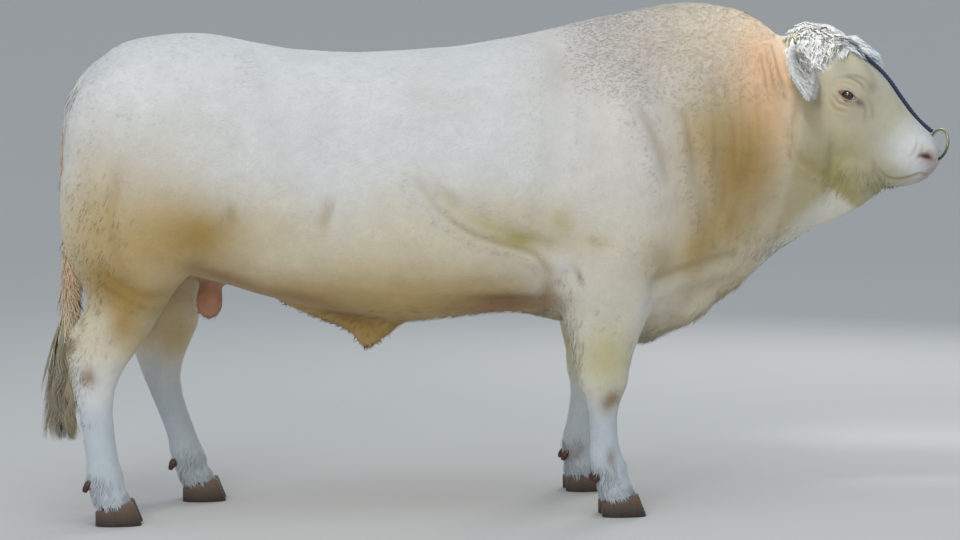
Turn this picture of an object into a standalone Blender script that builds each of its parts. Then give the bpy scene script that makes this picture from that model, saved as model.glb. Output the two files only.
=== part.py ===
"""A Blonde d'Aquitaine bull, life-size and standing, with a nose ring, a head rope and an ear tag.

Metres, +Z up. The bull faces +X, its right side is at -Y, and it turns its head a little to the
right. Heights are above the floor. Lengths along X are measured from under the middle of the
barrel, and the last step moves the model so that its origin lies under the middle of its box.
"""

import math
import random

import bmesh
import bpy
import numpy as np
from mathutils import Matrix, Vector
from mathutils.bvhtree import BVHTree

# Driving sizes of the body
CREST_HEIGHT = 1.614
RUMP_HEIGHT = 1.506
LOIN_HEIGHT = 1.449
BODY_HALF_WIDTH = 0.384
VALLEY_DEPTH = 0.040
GAP = 0.0003

# The head's own frame: s runs from the poll to the muzzle, h rises from the face, q points to
# the bull's left. The frame starts in the poll.
POLL = np.array([1.06, -0.07, 1.50])
HEAD_TURN = math.radians(-28)
HEAD_DROP = math.radians(46)
HEAD_CUT = np.array([-0.070, -0.090])
HEAD_CUT_NORMAL = np.array([0.514, 0.857])

# Legs: how far the feet stand from the middle, and the names of the nodes
FORE_TRACK = 0.2335
HIND_TRACK = 0.196
LEG_NAMES = {
    "fore_near": "right_foreleg", "fore_off": "left_foreleg",
    "hind_near": "right_hindleg", "hind_off": "left_hindleg",
}

# Where each leg is parted: x from and to, distance from the middle, top, and joint height
LEG_CUTS = {
    "fore_near": (0.19, 0.54, 0.135, 0.72, 0.345),
    "fore_off": (0.21, 0.58, 0.135, 0.72, 0.345),
    "hind_near": (-1.50, -0.93, 0.02, 0.70, 0.480),
    "hind_off": (-1.50, -0.82, 0.02, 0.70, 0.480),
}
LEG_REACH = 0.6

# Where the trunk is parted: a point and the direction towards the part that is taken
NECK_CUT = ((0.70, 0, 1.2), (1, 0, 0.12))
CHEST_CUT = ((0.15, 0, 1), (1, 0, 0))
LOIN_CUT = ((-0.60, 0, 1), (-1, 0, 0))

# Feet: the coronet slopes from the toe down to the heel over its length
CORONET_HEIGHT = 0.074
HEEL_HEIGHT = 0.044
CORONET_LENGTH = 0.12
CORONET_SLOPE = (CORONET_HEIGHT - HEEL_HEIGHT) / CORONET_LENGTH
CLAW_LENGTH = 0.142
CLAW_WIDTH = 0.058
CLEFT = 0.007

# A dewclaw from its root to its tip, as (behind the leg, aside, up) and radius
DEWCLAW_HEIGHT = 0.122
DEWCLAW = (
    ((0.020, 0.026, 0.016), 0.010), ((0.003, 0.029, 0.005), 0.0135),
    ((-0.007, 0.031, -0.008), 0.0115), ((-0.010, 0.032, -0.019), 0.0065),
)

# Eyes and lids
EYE_RADIUS = 0.0205
EYE_AT = (0.236, -0.030)
EYE_SET = 0.80
LID_LENGTH = 0.0310
LID_ABOVE = 0.0150
LID_BELOW = 0.0120
LID_TIP = 0.38
LID_OUT = 0.0022
LID_HALF_WIDTH = 0.0042
LID_PROUD = 0.0045

# Ears, from root to tip, as (s, h, q) for the left side
EAR_ROOT = (0.018, -0.024, 0.128)
EAR_TIP = (0.172, -0.104, 0.226)
EAR_THICKNESS = 0.006
EAR_BOW = 0.010
EAR_FORWARD = 0.62
EAR_ASIDE = 0.52

# Ear tag: width, length and thickness, how far down the ear it is, and how far from it
TAG_SIZE = (0.030, 0.036, 0.0024)
TAG_BEVEL = 0.0009
TAG_SHARE = 0.70
TAG_STAND = 0.0050
STUD_RADIUS = 0.0055

# Ring and rope: the ring hangs in the nose at the septum and is turned about its own height
RING_RADIUS = 0.048
RING_WIRE = 0.0042
SEPTUM_AT = (0.555, 0.012, 0.0)
RING_AT = (0.530, 0.053, 0.0)
RING_TWIST = -0.79
ROPE_RADIUS = 0.0068
ROPE_STAND = 0.003
ROPE_ROUTE = (
    (0.060, 0.000), (0.110, 0.006), (0.180, 0.016), (0.260, 0.026), (0.340, 0.032),
    (0.420, 0.030), (0.484, 0.022),
)

# Tail and its switch
TAIL_PATH = (
    (-1.080, 0.0, 1.420), (-1.190, 0.0, 1.385), (-1.250, 0.0, 1.305), (-1.277, 0.0, 1.200),
    (-1.284, 0.0, 1.050), (-1.284, 0.0, 0.900), (-1.286, 0.0, 0.750), (-1.294, 0.0, 0.640),
    (-1.300, 0.0, 0.555),
)
TAIL_TOP_RADIUS = 0.042
TAIL_END_RADIUS = 0.024
SWITCH_CORE = ((0.06, 0.026), (0.13, 0.020), (0.19, 0.008))
SWITCH_END = 0.226
SWITCH_LOCKS = 24
LEAF_TURN = 2.399

# Poll tuft: rows of locks over the poll, then more that fall over the left brow
TUFT_FROM = -0.045
TUFT_TO = 0.105
TUFT_ROWS = 6
TUFT_MIDDLE = 0.02
TUFT_HALF_LENGTH = 0.11
TUFT_HALF_WIDTH = 0.085
LOCK_SPACING = 0.029
BROW_LOCKS = (
    (0.080, 0.062), (0.088, 0.090), (0.106, 0.054), (0.112, 0.080), (0.132, 0.062), (0.138, 0.092),
    (0.156, 0.074),
)

# Cells of the remesh, and the triangles of the whole flesh, first everywhere and then with the
# trunk thinned further
VOXEL = 0.008
FINE_TRIANGLES = 8600
BODY_TRIANGLES = 5100
SCROTUM_TRIANGLES = 260
SHEATH_TRIANGLES = 300

# Colour and roughness of each finish
FINISHES = {
    "white": ((0.80, 0.74, 0.63), 0.75),
    "cream": ((0.74, 0.64, 0.48), 0.75),
    "tan": ((0.60, 0.44, 0.25), 0.75),
    "lower_leg": ((0.78, 0.76, 0.72), 0.75),
    "bare_skin": ((0.45, 0.20, 0.12), 0.6),
    "hoof": ((0.13, 0.075, 0.045), 0.45),
    "eye": ((0.02, 0.012, 0.01), 0.08),
    "lock": ((0.82, 0.77, 0.68), 0.8),
    "switch": ((0.58, 0.50, 0.36), 0.8),
    "ring": ((0.35, 0.33, 0.25), 0.3),
    "rope": ((0.02, 0.025, 0.06), 0.85),
    "tag": ((0.85, 0.36, 0.04), 0.4),
}

# The finish of each node whose name holds a word; the others are cream
NODE_FINISH = (
    ("claw", "hoof"), ("eye", "eye"), ("ring", "ring"), ("rope", "rope"), ("tag", "tag"),
    ("tuft", "lock"), ("switch", "switch"), ("scrotum", "bare_skin"), ("lower", "lower_leg"),
    ("ear", "white"), ("head", "white"), ("barrel", "white"), ("sheath", "tan"),
)


def clear_scene():
    for obj in list(bpy.data.objects):
        bpy.data.objects.remove(obj, do_unlink=True)


def material(name):
    found = bpy.data.materials.get(name)
    if found:
        return found
    colour, roughness = FINISHES[name]
    made = bpy.data.materials.new(name)
    made.use_nodes = True
    shader = made.node_tree.nodes["Principled BSDF"]
    shader.inputs["Base Color"].default_value = (*colour, 1)
    shader.inputs["Roughness"].default_value = roughness
    shader.inputs["Metallic"].default_value = 1.0 if name == "ring" else 0.0
    return made


# Small tools for curves and meshes


def through(*knots):
    """A smooth function through (position, value) knots that never swings past them."""
    at = np.array([knot[0] for knot in knots], float)
    value = np.array([knot[1] for knot in knots], float)
    order = np.argsort(at)
    at, value = at[order], value[order]
    rise = np.diff(value) / np.diff(at)
    slope = np.zeros(len(at))
    same = rise[1:] * rise[:-1] > 0
    slope[1:-1][same] = 2 * rise[1:][same] * rise[:-1][same] / (rise[1:] + rise[:-1])[same]
    slope[0], slope[-1] = rise[0], rise[-1]

    def read(x):
        x = np.clip(np.asarray(x, float), at[0], at[-1])
        i = np.clip(np.searchsorted(at, x, side="right") - 1, 0, len(at) - 2)
        width = at[i + 1] - at[i]
        u = (x - at[i]) / width
        start = (1 + 2 * u) * (1 - u) ** 2 * value[i] + u * (1 - u) ** 2 * width * slope[i]
        end = u * u * (3 - 2 * u) * value[i + 1] + u * u * (u - 1) * width * slope[i + 1]
        return start + end

    return read


def smooth_path(points, count):
    """Evenly spaced points on a smooth curve through the given ones."""
    points = np.array(points, float)
    ends = np.vstack([2 * points[0] - points[1], points, 2 * points[-1] - points[-2]])
    fine = []
    for i in range(1, len(ends) - 2):
        before, here, there, after = ends[i - 1 : i + 3]
        for u in np.linspace(0, 1, 24, endpoint=False):
            bend = 2 * before - 5 * here + 4 * there - after
            twist = 3 * here - before - 3 * there + after
            fine.append(0.5 * (2 * here + (there - before) * u + bend * u**2 + twist * u**3))
    fine.append(points[-1])
    fine = np.array(fine)
    length = np.concatenate([[0], np.cumsum(np.linalg.norm(np.diff(fine, axis=0), axis=1))])
    wanted = np.linspace(0, length[-1], count)
    return np.stack([np.interp(wanted, length, fine[:, k]) for k in range(3)], -1)


def unit(vector):
    return vector / np.linalg.norm(vector)


def egg(sides, half, above, below, square_above=2.0, square_below=2.0):
    """(sideways, up) points round a section that may be squarer or sharper above than below."""
    turn = np.linspace(0, 2 * math.pi, sides, endpoint=False)
    across, up = np.cos(turn), np.sin(turn)
    power = 2 / np.where(up > 0, square_above, square_below)
    reach = np.where(up > 0, above, below)
    wide = half * np.sign(across) * np.abs(across) ** power
    return wide, reach * np.sign(up) * np.abs(up) ** power


def new_object(name, bm):
    bmesh.ops.recalc_face_normals(bm, faces=bm.faces)
    mesh = bpy.data.meshes.new(name)
    bm.to_mesh(mesh)
    bm.free()
    obj = bpy.data.objects.new(name, mesh)
    bpy.context.scene.collection.objects.link(obj)
    return obj


def loft(name, rings):
    """A closed tube through rings of equally many points, capped at both ends."""
    bm = bmesh.new()
    rows = [[bm.verts.new(point) for point in ring] for ring in rings]
    sides = len(rows[0])
    for low, high in zip(rows, rows[1:]):
        for k in range(sides):
            after = (k + 1) % sides
            bm.faces.new((low[k], low[after], high[after], high[k]))
    bm.faces.new(rows[0][::-1])
    bm.faces.new(rows[-1])
    return new_object(name, bm)


def closed_loop(name, rings):
    """A tube whose last ring meets its first."""
    bm = bmesh.new()
    rows = [[bm.verts.new(point) for point in ring] for ring in rings]
    sides = len(rows[0])
    for k, row in enumerate(rows):
        after = rows[(k + 1) % len(rows)]
        for i in range(sides):
            j = (i + 1) % sides
            bm.faces.new((row[i], row[j], after[j], after[i]))
    return new_object(name, bm)


def tube(name, path, radii, sides=12, flat=1.0, aside=(0, 1, 0)):
    """A round or flattened tube along a path: flat thins it across the aside direction."""
    path = np.array(path, float)
    along = np.gradient(path, axis=0)
    along /= np.linalg.norm(along, axis=1)[:, None]
    rings = []
    for point, forward, radius in zip(path, along, radii):
        first = unit(np.cross(forward, aside))
        second = np.cross(forward, first)
        turn = np.linspace(0, 2 * math.pi, sides, endpoint=False)
        across = np.outer(np.cos(turn) * radius, first)
        rings.append(point + across + np.outer(np.sin(turn) * radius * flat, second))
    return loft(name, rings)


def ellipsoid(name, centre, radii, turn=Matrix.Identity(3), detail=3):
    bm = bmesh.new()
    bmesh.ops.create_icosphere(bm, subdivisions=detail, radius=1)
    place = Matrix.Translation(Vector(centre)) @ turn.to_4x4() @ Matrix.Diagonal((*radii, 1))
    bmesh.ops.transform(bm, matrix=place, verts=bm.verts)
    return new_object(name, bm)


def box(name, low, high):
    bm = bmesh.new()
    bmesh.ops.create_cube(bm, size=1)
    low, high = Vector(low), Vector(high)
    size = high - low
    place = Matrix.Translation((low + high) / 2) @ Matrix.Diagonal((*size, 1))
    bmesh.ops.transform(bm, matrix=place, verts=bm.verts)
    return new_object(name, bm)


def slab(name, point, normal, size=4.0):
    """A big block that fills the side of a plane that its normal points to."""
    turn = Vector(normal).normalized().to_track_quat("Z", "Y").to_matrix().to_4x4()
    bm = bmesh.new()
    bmesh.ops.create_cube(bm, size=size)
    place = Matrix.Translation(Vector(point)) @ turn @ Matrix.Translation((0, 0, size / 2))
    bmesh.ops.transform(bm, matrix=place, verts=bm.verts)
    return new_object(name, bm)


def points_of(obj):
    flat = np.empty(len(obj.data.vertices) * 3)
    obj.data.vertices.foreach_get("co", flat)
    return flat.reshape(-1, 3)


def set_points(obj, points):
    obj.data.vertices.foreach_set("co", np.ascontiguousarray(points).reshape(-1))
    obj.data.update()


def normals_of(obj):
    flat = np.empty(len(obj.data.vertices) * 3)
    obj.data.vertices.foreach_get("normal", flat)
    return flat.reshape(-1, 3)


def apply_modifiers(obj):
    graph = bpy.context.evaluated_depsgraph_get()
    baked = bpy.data.meshes.new_from_object(obj.evaluated_get(graph))
    old = obj.data
    obj.modifiers.clear()
    obj.data = baked
    bpy.data.meshes.remove(old)
    return obj


def joined(name, pieces):
    """The pieces in one mesh, still overlapping."""
    bm = bmesh.new()
    for piece in pieces:
        bm.from_mesh(piece.data)
    remove(*pieces)
    return new_object(name, bm)


def remove(*objects):
    for obj in objects:
        bpy.data.objects.remove(obj, do_unlink=True)


def copied(obj, name):
    twin = obj.copy()
    twin.data = obj.data.copy()
    twin.name = name
    bpy.context.scene.collection.objects.link(twin)
    return twin


def largest_body(obj):
    """Keeps only the largest closed surface of a mesh."""
    bm = bmesh.new()
    bm.from_mesh(obj.data)
    left = set(bm.verts)
    bodies = []
    while left:
        front = [left.pop()]
        body = set(front)
        while front:
            for edge in front.pop().link_edges:
                for vert in edge.verts:
                    if vert in left:
                        left.discard(vert)
                        body.add(vert)
                        front.append(vert)
        bodies.append(body)

    def size(body):
        span = np.array([vert.co for vert in body])
        return np.prod(np.ptp(span, axis=0))

    keep = max(bodies, key=size)
    if len(bodies) > 1:
        bmesh.ops.delete(bm, geom=[v for v in bm.verts if v not in keep], context="VERTS")
    bm.to_mesh(obj.data)
    bm.free()
    return obj


def boolean(obj, other, operation, solver="EXACT"):
    step = obj.modifiers.new(operation.lower(), "BOOLEAN")
    step.operation = operation
    step.solver = solver
    step.object = other
    return apply_modifiers(obj)


def fused(name, pieces, solver="MANIFOLD"):
    """One closed body from pieces that overlap, by one union on a collection."""
    base = pieces[0]
    base.name = name
    if len(pieces) > 1:
        group = bpy.data.collections.new(name + "_pieces")
        bpy.context.scene.collection.children.link(group)
        for piece in pieces[1:]:
            bpy.context.scene.collection.objects.unlink(piece)
            group.objects.link(piece)
        step = base.modifiers.new("union", "BOOLEAN")
        step.operation = "UNION"
        step.solver = solver
        step.operand_type = "COLLECTION"
        step.collection = group
        apply_modifiers(base)
        remove(*pieces[1:])
        bpy.data.collections.remove(group)
    return largest_body(base)


def grown(obj, by):
    """A copy of a body, pushed out along its surface."""
    twin = copied(obj, obj.name + "_grown")
    set_points(twin, points_of(twin) + by * normals_of(twin))
    return twin


def fit_against(obj, *others, gap=GAP):
    """Cuts a body back to the surface of those that it grows from."""
    for other in others:
        cutter = grown(other, gap * 1.2)
        boolean(obj, cutter, "DIFFERENCE", "MANIFOLD")
        remove(cutter)
    return largest_body(obj)


def make_room(obj, *others):
    """Cuts a socket in a body for each of those that are rooted in it."""
    for other in others:
        cutter = grown(other, GAP)
        boolean(obj, cutter, "DIFFERENCE", "MANIFOLD")
        remove(cutter)
    return largest_body(obj)


def parted(obj, name, cutter):
    """Takes what lies inside the cutter out of a body, as a node of its own."""
    taken = boolean(copied(obj, name), cutter, "INTERSECT")
    wider = grown(cutter, GAP)
    boolean(obj, wider, "DIFFERENCE")
    remove(wider, cutter)
    largest_body(obj)
    return largest_body(taken)


# The head's frame


HEAD_FORWARD = np.array([math.cos(HEAD_TURN), math.sin(HEAD_TURN), 0])
HEAD_LEFT = np.array([-math.sin(HEAD_TURN), math.cos(HEAD_TURN), 0])
HEAD_ALONG = HEAD_FORWARD * math.cos(HEAD_DROP) - np.array([0, 0, math.sin(HEAD_DROP)])
HEAD_UP = HEAD_FORWARD * math.sin(HEAD_DROP) + np.array([0, 0, math.cos(HEAD_DROP)])
HEAD_AXES = np.stack([HEAD_ALONG, HEAD_UP, HEAD_LEFT])


def from_head(points):
    """World places of (s, h, q) points."""
    return POLL + np.asarray(points, float) @ HEAD_AXES


def to_head(points):
    """(s, h, q) of world points."""
    return (points - POLL) @ HEAD_AXES.T


def head_turn():
    """The rotation whose columns are the head's s, h and q."""
    return Matrix(HEAD_AXES.T.tolist())


def from_above(tree, s, q):
    """Place and normal of the head's surface, met from in front of the face at (s, q)."""
    hit, normal, _, _ = tree.ray_cast(Vector(from_head((s, 0.4, q))), Vector(-HEAD_UP))
    return np.array(hit), np.array(normal)


def from_beside(tree, s, h, side):
    """How far the head's surface lies from its middle plane, met from the side at (s, h)."""
    start = Vector(from_head((s, h, side * 0.3)))
    hit, _, _, _ = tree.ray_cast(start, Vector(HEAD_LEFT * -side))
    return (np.array(hit) - POLL) @ HEAD_LEFT * side


# Flesh, in plain lofts that the remesh joins

BACK_LINE = through(
    (-1.300, 1.205), (-1.266, 1.309), (-1.225, 1.381), (-1.173, 1.443), (-1.096, 1.482),
    (-0.911, RUMP_HEIGHT), (-0.569, 1.456), (-0.420, LOIN_HEIGHT), (-0.128, 1.464),
    (0.128, 1.506), (0.419, 1.572), (0.679, CREST_HEIGHT), (0.827, 1.594), (0.920, 1.544),
    (0.985, 1.474), (1.080, 1.440),
)
BELLY_LINE = through(
    (-1.300, 0.960), (-1.225, 0.860), (-1.050, 0.785), (-0.784, 0.712), (-0.628, 0.665),
    (-0.450, 0.625), (-0.244, 0.598), (-0.045, 0.615), (0.097, 0.624), (0.300, 0.585),
    (0.522, 0.520), (0.604, 0.548), (0.686, 0.600), (0.835, 0.688), (0.960, 0.806),
    (1.080, 0.885),
)
WIDEST_HEIGHT = through(
    (-1.300, 1.08), (-1.1, 1.12), (-0.75, 1.10), (-0.3, 1.02), (0.1, 1.0), (0.45, 1.06),
    (0.7, 1.13), (1.08, 1.15),
)
HALF_WIDTH = through(
    (-1.300, 0.13), (-1.270, 0.20), (-1.225, 0.255), (-1.160, 0.300), (-1.050, 0.332),
    (-0.911, 0.345), (-0.70, 0.332), (-0.50, 0.330), (-0.25, 0.362), (0.05, BODY_HALF_WIDTH),
    (0.30, 0.376), (0.50, 0.358), (0.65, 0.328), (0.78, 0.276), (0.88, 0.236),
    (1.00, 0.198), (1.08, 0.170),
)
SQUARE_ABOVE = through((-1.3, 2.1), (-0.9, 2.6), (-0.4, 2.7), (0.1, 2.3), (0.5, 1.8), (1.1, 1.9))
SQUARE_BELOW = through(
    (-1.3, 2.0), (-0.9, 2.9), (-0.7, 3.2), (-0.45, 2.6), (0.3, 2.3), (0.6, 2.0), (0.9, 1.6),
    (1.1, 1.5),
)
NECK_SWING = through((0.55, 0.0), (0.8, -0.018), (1.08, -0.062))


def trunk():
    rings = []
    for x in np.linspace(-1.300, 1.080, 72):
        middle = WIDEST_HEIGHT(x)
        wide, up = egg(
            40, HALF_WIDTH(x), BACK_LINE(x) - middle, middle - BELLY_LINE(x),
            SQUARE_ABOVE(x), SQUARE_BELOW(x),
        )
        rings.append(np.stack([np.full(40, x), wide + NECK_SWING(x), up + middle], -1))
    return loft("trunk", rings)


FORE_LINE = through(
    (1.10, 0.42), (0.90, 0.372), (0.80, 0.354), (0.63, 0.369), (0.50, 0.358), (0.32, 0.358),
    (0.20, 0.365), (0.12, 0.388), (0.03, 0.410),
)
FORE_DEPTH = through(
    (1.10, 0.34), (0.90, 0.36), (0.80, 0.333), (0.71, 0.302), (0.63, 0.266), (0.54, 0.215),
    (0.46, 0.172), (0.41, 0.156), (0.36, 0.114), (0.31, 0.093), (0.24, 0.092), (0.19, 0.106),
    (0.155, 0.119), (0.12, 0.106), (0.08, 0.110), (0.03, 0.114),
)
FORE_WIDTH = through(
    (1.10, 0.26), (0.90, 0.285), (0.80, 0.262), (0.71, 0.230), (0.63, 0.195), (0.54, 0.160),
    (0.46, 0.134), (0.41, 0.128), (0.36, 0.112), (0.31, 0.098), (0.24, 0.096), (0.19, 0.108),
    (0.155, 0.120), (0.12, 0.118), (0.08, 0.126), (0.03, 0.132),
)
HIND_LINE = through(
    (1.25, -0.97), (1.05, -1.008), (0.95, -1.030), (0.85, -1.066), (0.77, -1.084),
    (0.70, -1.095), (0.63, -1.130), (0.58, -1.162), (0.47, -1.196), (0.40, -1.204),
    (0.25, -1.190), (0.12, -1.171), (0.03, -1.142),
)
HIND_DEPTH = through(
    (1.25, 0.555), (1.05, 0.588), (0.95, 0.552), (0.85, 0.462), (0.77, 0.366), (0.70, 0.264),
    (0.63, 0.246), (0.585, 0.254), (0.53, 0.215), (0.47, 0.163), (0.40, 0.124), (0.33, 0.106),
    (0.25, 0.101), (0.19, 0.104), (0.155, 0.120), (0.12, 0.110), (0.08, 0.114), (0.03, 0.118),
)
HIND_WIDTH = through(
    (1.25, 0.24), (1.05, 0.325), (0.95, 0.332), (0.85, 0.312), (0.77, 0.275), (0.70, 0.226),
    (0.63, 0.184), (0.58, 0.153), (0.53, 0.131), (0.47, 0.118), (0.40, 0.104), (0.33, 0.094),
    (0.25, 0.091), (0.19, 0.102), (0.155, 0.116), (0.12, 0.115), (0.08, 0.124), (0.03, 0.130),
)
HIND_PINCH = through((0.9, 0.0), (0.70, 0.35), (0.58, 0.62), (0.47, 0.35), (0.35, 0.1), (0.1, 0.0))
STANCE = {
    "fore_near": through((0.03, 0.0), (1.1, 0.0001)),
    "fore_off": through((0.03, -0.04), (0.13, -0.02), (0.3, 0.018), (0.5, 0.046), (1.1, 0.0)),
    "hind_near": through((0.03, 0.0), (1.1, 0.0001)),
    "hind_off": through(
        (0.03, 0.255), (0.2, 0.235), (0.3, 0.212), (0.4, 0.190), (0.5, 0.168), (0.6, 0.135),
        (0.8, 0.06), (1.0, 0.0),
    ),
}


def leg(which):
    fore = which.startswith("fore")
    side = -1 if which.endswith("near") else 1
    line, depth, width = (FORE_LINE, FORE_DEPTH, FORE_WIDTH) if fore else (
        HIND_LINE, HIND_DEPTH, HIND_WIDTH
    )
    track = FORE_TRACK if fore else HIND_TRACK
    rings = []
    for z in np.linspace(1.10 if fore else 1.22, 0.03, 60):
        half = depth(z) / 2
        wide, along = egg(24, width(z) / 2, half, half, 2.2, 2.2)
        if not fore:
            wide = wide * (1 - HIND_PINCH(z) * np.clip(-along / half, 0, 1) ** 1.5)
        x = line(z) + STANCE[which](z) + along
        rings.append(np.stack([x, side * track + wide, np.full(24, z)], -1))
    return loft(which, rings)


HEAD_TOP = through(
    (-0.055, -0.045), (-0.03, 0.010), (0.0, 0.034), (0.05, 0.052), (0.13, 0.066), (0.21, 0.076),
    (0.29, 0.074), (0.36, 0.063), (0.42, 0.060), (0.48, 0.061), (0.52, 0.058), (0.55, 0.046),
    (0.572, 0.022), (0.584, -0.012),
)
HEAD_BOTTOM = through(
    (-0.055, -0.130), (0.0, -0.190), (0.10, -0.235), (0.20, -0.272), (0.28, -0.290),
    (0.34, -0.280), (0.40, -0.243), (0.45, -0.192), (0.49, -0.155), (0.53, -0.132),
    (0.565, -0.100), (0.584, -0.055),
)
HEAD_WIDEST = through((-0.055, -0.08), (0.1, -0.045), (0.24, -0.04), (0.33, -0.085), (0.584, -0.04))
HEAD_HALF = through(
    (-0.055, 0.070), (-0.02, 0.108), (0.05, 0.122), (0.15, 0.127), (0.23, 0.126), (0.29, 0.114),
    (0.36, 0.092), (0.42, 0.078), (0.47, 0.076), (0.52, 0.083), (0.55, 0.080), (0.572, 0.062),
    (0.584, 0.036),
)


def skull():
    rings = []
    for s in np.linspace(-0.055, 0.584, 48):
        middle = HEAD_WIDEST(s)
        above = HEAD_TOP(s) - middle
        below = middle - HEAD_BOTTOM(s)
        wide, up = egg(32, HEAD_HALF(s), above, below, 2.5, 1.9)
        rings.append(from_head(np.stack([np.full(32, s), up + middle, wide], -1)))
    return loft("skull", rings)


def head_lump(name, at, radii, drop=0.0):
    """An ellipsoid on the head, its long side tipped by drop from the s axis."""
    tip = Matrix.Rotation(drop, 3, "Z")
    return ellipsoid(name, from_head(at), radii, head_turn() @ tip)


def head_pieces():
    pieces = [skull()]
    for side in (-1, 1):
        pieces += [
            head_lump("brow", (0.175, 0.036, side * 0.088), (0.110, 0.047, 0.046), -0.10),
            head_lump("orbit", (0.236, -0.020, side * 0.096), (0.060, 0.044, 0.034), 0.25),
            head_lump("cheek", (0.27, -0.150, side * 0.070), (0.105, 0.095, 0.050), -0.5),
            head_lump("nostril_wing", (0.535, 0.018, side * 0.052), (0.040, 0.034, 0.032)),
            head_lump("lip", (0.520, -0.062, side * 0.050), (0.052, 0.034, 0.034), 0.6),
        ]
    pieces.append(head_lump("muzzle", (0.540, -0.010, 0), (0.040, 0.052, 0.078)))
    pieces.append(head_lump("chin", (0.520, -0.118, 0), (0.050, 0.026, 0.048), 0.75))
    return pieces


THROAT_BOTTOM = through(
    (-0.10, 0.84), (-0.062, 0.850), (0.026, 0.884), (0.128, 0.926), (0.176, 0.958),
    (0.232, 1.008), (0.262, 1.035),
)
THROAT_HALF = through((-0.10, 0.17), (0.02, 0.130), (0.128, 0.088), (0.200, 0.062), (0.262, 0.040))


def throat():
    """The loose skin that hangs from the chin to the neck, in planes across the head's turn."""
    rings = []
    for t in np.linspace(-0.10, 0.262, 24):
        middle = POLL + t * HEAD_FORWARD
        height = 1.13 - 0.18 * max(t, 0)
        wide, up = egg(24, THROAT_HALF(t), 0.06, height - THROAT_BOTTOM(t), 2.0, 1.5)
        ring = middle * (1, 1, 0) + np.outer(wide, HEAD_LEFT)
        rings.append(ring + np.outer(height + up, (0, 0, 1)))
    return loft("throat", rings)


def muscles():
    """Paired swellings of shoulder, rump, thigh and brisket: place, radii and pitch."""
    pieces = []
    rows = (
        ("shoulder", (0.44, 0.215, 1.08), (0.205, 0.165, 0.36), 0.18),
        ("upper_arm", (0.40, 0.245, 0.86), (0.185, 0.135, 0.17), 0.0),
        ("haunch", (-1.04, 0.190, 1.17), (0.250, 0.165, 0.26), 0.1),
        ("hook", (-0.76, 0.185, 1.345), (0.150, 0.115, 0.100), 0.0),
        ("loin_muscle", (-0.45, 0.120, 1.36), (0.34, 0.115, 0.085), 0.0),
        ("brisket", (0.62, 0.075, 0.70), (0.150, 0.110, 0.130), 0.5),
    )
    for side in (-1, 1):
        for name, (x, y, z), radii, pitch in rows:
            turn = Matrix.Rotation(-pitch, 3, "Y")
            pieces.append(ellipsoid(name, (x, side * y, z), radii, turn))
    return pieces


SHEATH_BOTTOM = through(
    (-0.700, 0.700), (-0.628, 0.649), (-0.540, 0.610), (-0.470, 0.584), (-0.431, 0.566),
    (-0.401, 0.538), (-0.366, 0.499), (-0.334, 0.519), (-0.289, 0.550), (-0.252, 0.581),
    (-0.180, 0.612),
)
SHEATH_HALF = through(
    (-0.700, 0.016), (-0.540, 0.030), (-0.430, 0.038), (-0.360, 0.024), (-0.300, 0.034),
    (-0.180, 0.018),
)


def sheath():
    """The fold of skin under the belly, which ends in the hanging tip of the sheath."""
    rings = []
    for x in np.linspace(-0.700, -0.180, 27):
        top = float(BELLY_LINE(x)) + 0.035
        half = (top - SHEATH_BOTTOM(x)) / 2
        wide, up = egg(10, SHEATH_HALF(x), half, half, 2.0, 1.8)
        rings.append(np.stack([np.full(10, x), wide, up + top - half], -1))
    fold = remeshed(loft("sheath", rings), 0.007)
    relax(fold, 3, evenly)
    return decimated(fold, SHEATH_TRIANGLES)


def scrotum():
    """Two halves side by side under a neck that reaches up between the thighs."""
    pieces = [ellipsoid("neck", (-0.855, 0, 0.74), (0.040, 0.044, 0.060))]
    for side in (-1, 1):
        pieces.append(ellipsoid("half", (-0.858, side * 0.030, 0.668), (0.048, 0.042, 0.064)))
    bag = remeshed(joined("scrotum", pieces), 0.008)
    relax(bag, 6, evenly)
    return decimated(bag, SCROTUM_TRIANGLES)


def remeshed(obj, voxel):
    """Makes one skin of even cells from pieces that overlap."""
    step = obj.modifiers.new("remesh", "REMESH")
    step.mode = "VOXEL"
    step.voxel_size = voxel
    return apply_modifiers(obj)


def decimated(obj, triangles, group=""):
    """Thins a mesh to about so many triangles, only within a vertex group if it is named."""
    step = obj.modifiers.new("decimate", "DECIMATE")
    step.ratio = triangles / sum(len(face.vertices) - 2 for face in obj.data.polygons)
    step.vertex_group = group
    return apply_modifiers(obj)


def neighbours(obj):
    flat = np.empty(len(obj.data.edges) * 2, np.int64)
    obj.data.edges.foreach_get("vertices", flat)
    return flat.reshape(-1, 2)


def relax(obj, rounds, strength):
    """Smooths a mesh; strength gives each point's share from its place."""
    points = points_of(obj)
    edges = neighbours(obj)
    count = len(points)
    degree = np.bincount(edges.reshape(-1), minlength=count)[:, None]
    for _ in range(rounds):
        total = np.zeros_like(points)
        for k in range(3):
            total[:, k] += np.bincount(edges[:, 0], points[edges[:, 1], k], minlength=count)
            total[:, k] += np.bincount(edges[:, 1], points[edges[:, 0], k], minlength=count)
        points = points + strength(points)[:, None] * (total / degree - points)
    set_points(obj, points)
    return obj


def evenly(points):
    return np.full(len(points), 0.5)


def softness(points):
    """Strong on the trunk, gentle on the head and the lower legs."""
    local = to_head(points)
    on_head = np.clip((local[:, 0] + local[:, 1] + 0.05) / 0.10, 0, 1)
    low = np.clip((0.75 - points[:, 2]) / 0.15, 0, 1)
    on_head = on_head * (points[:, 0] > 0.9)
    return 0.6 - np.maximum(0.42 * on_head, 0.52 * low)


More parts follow.
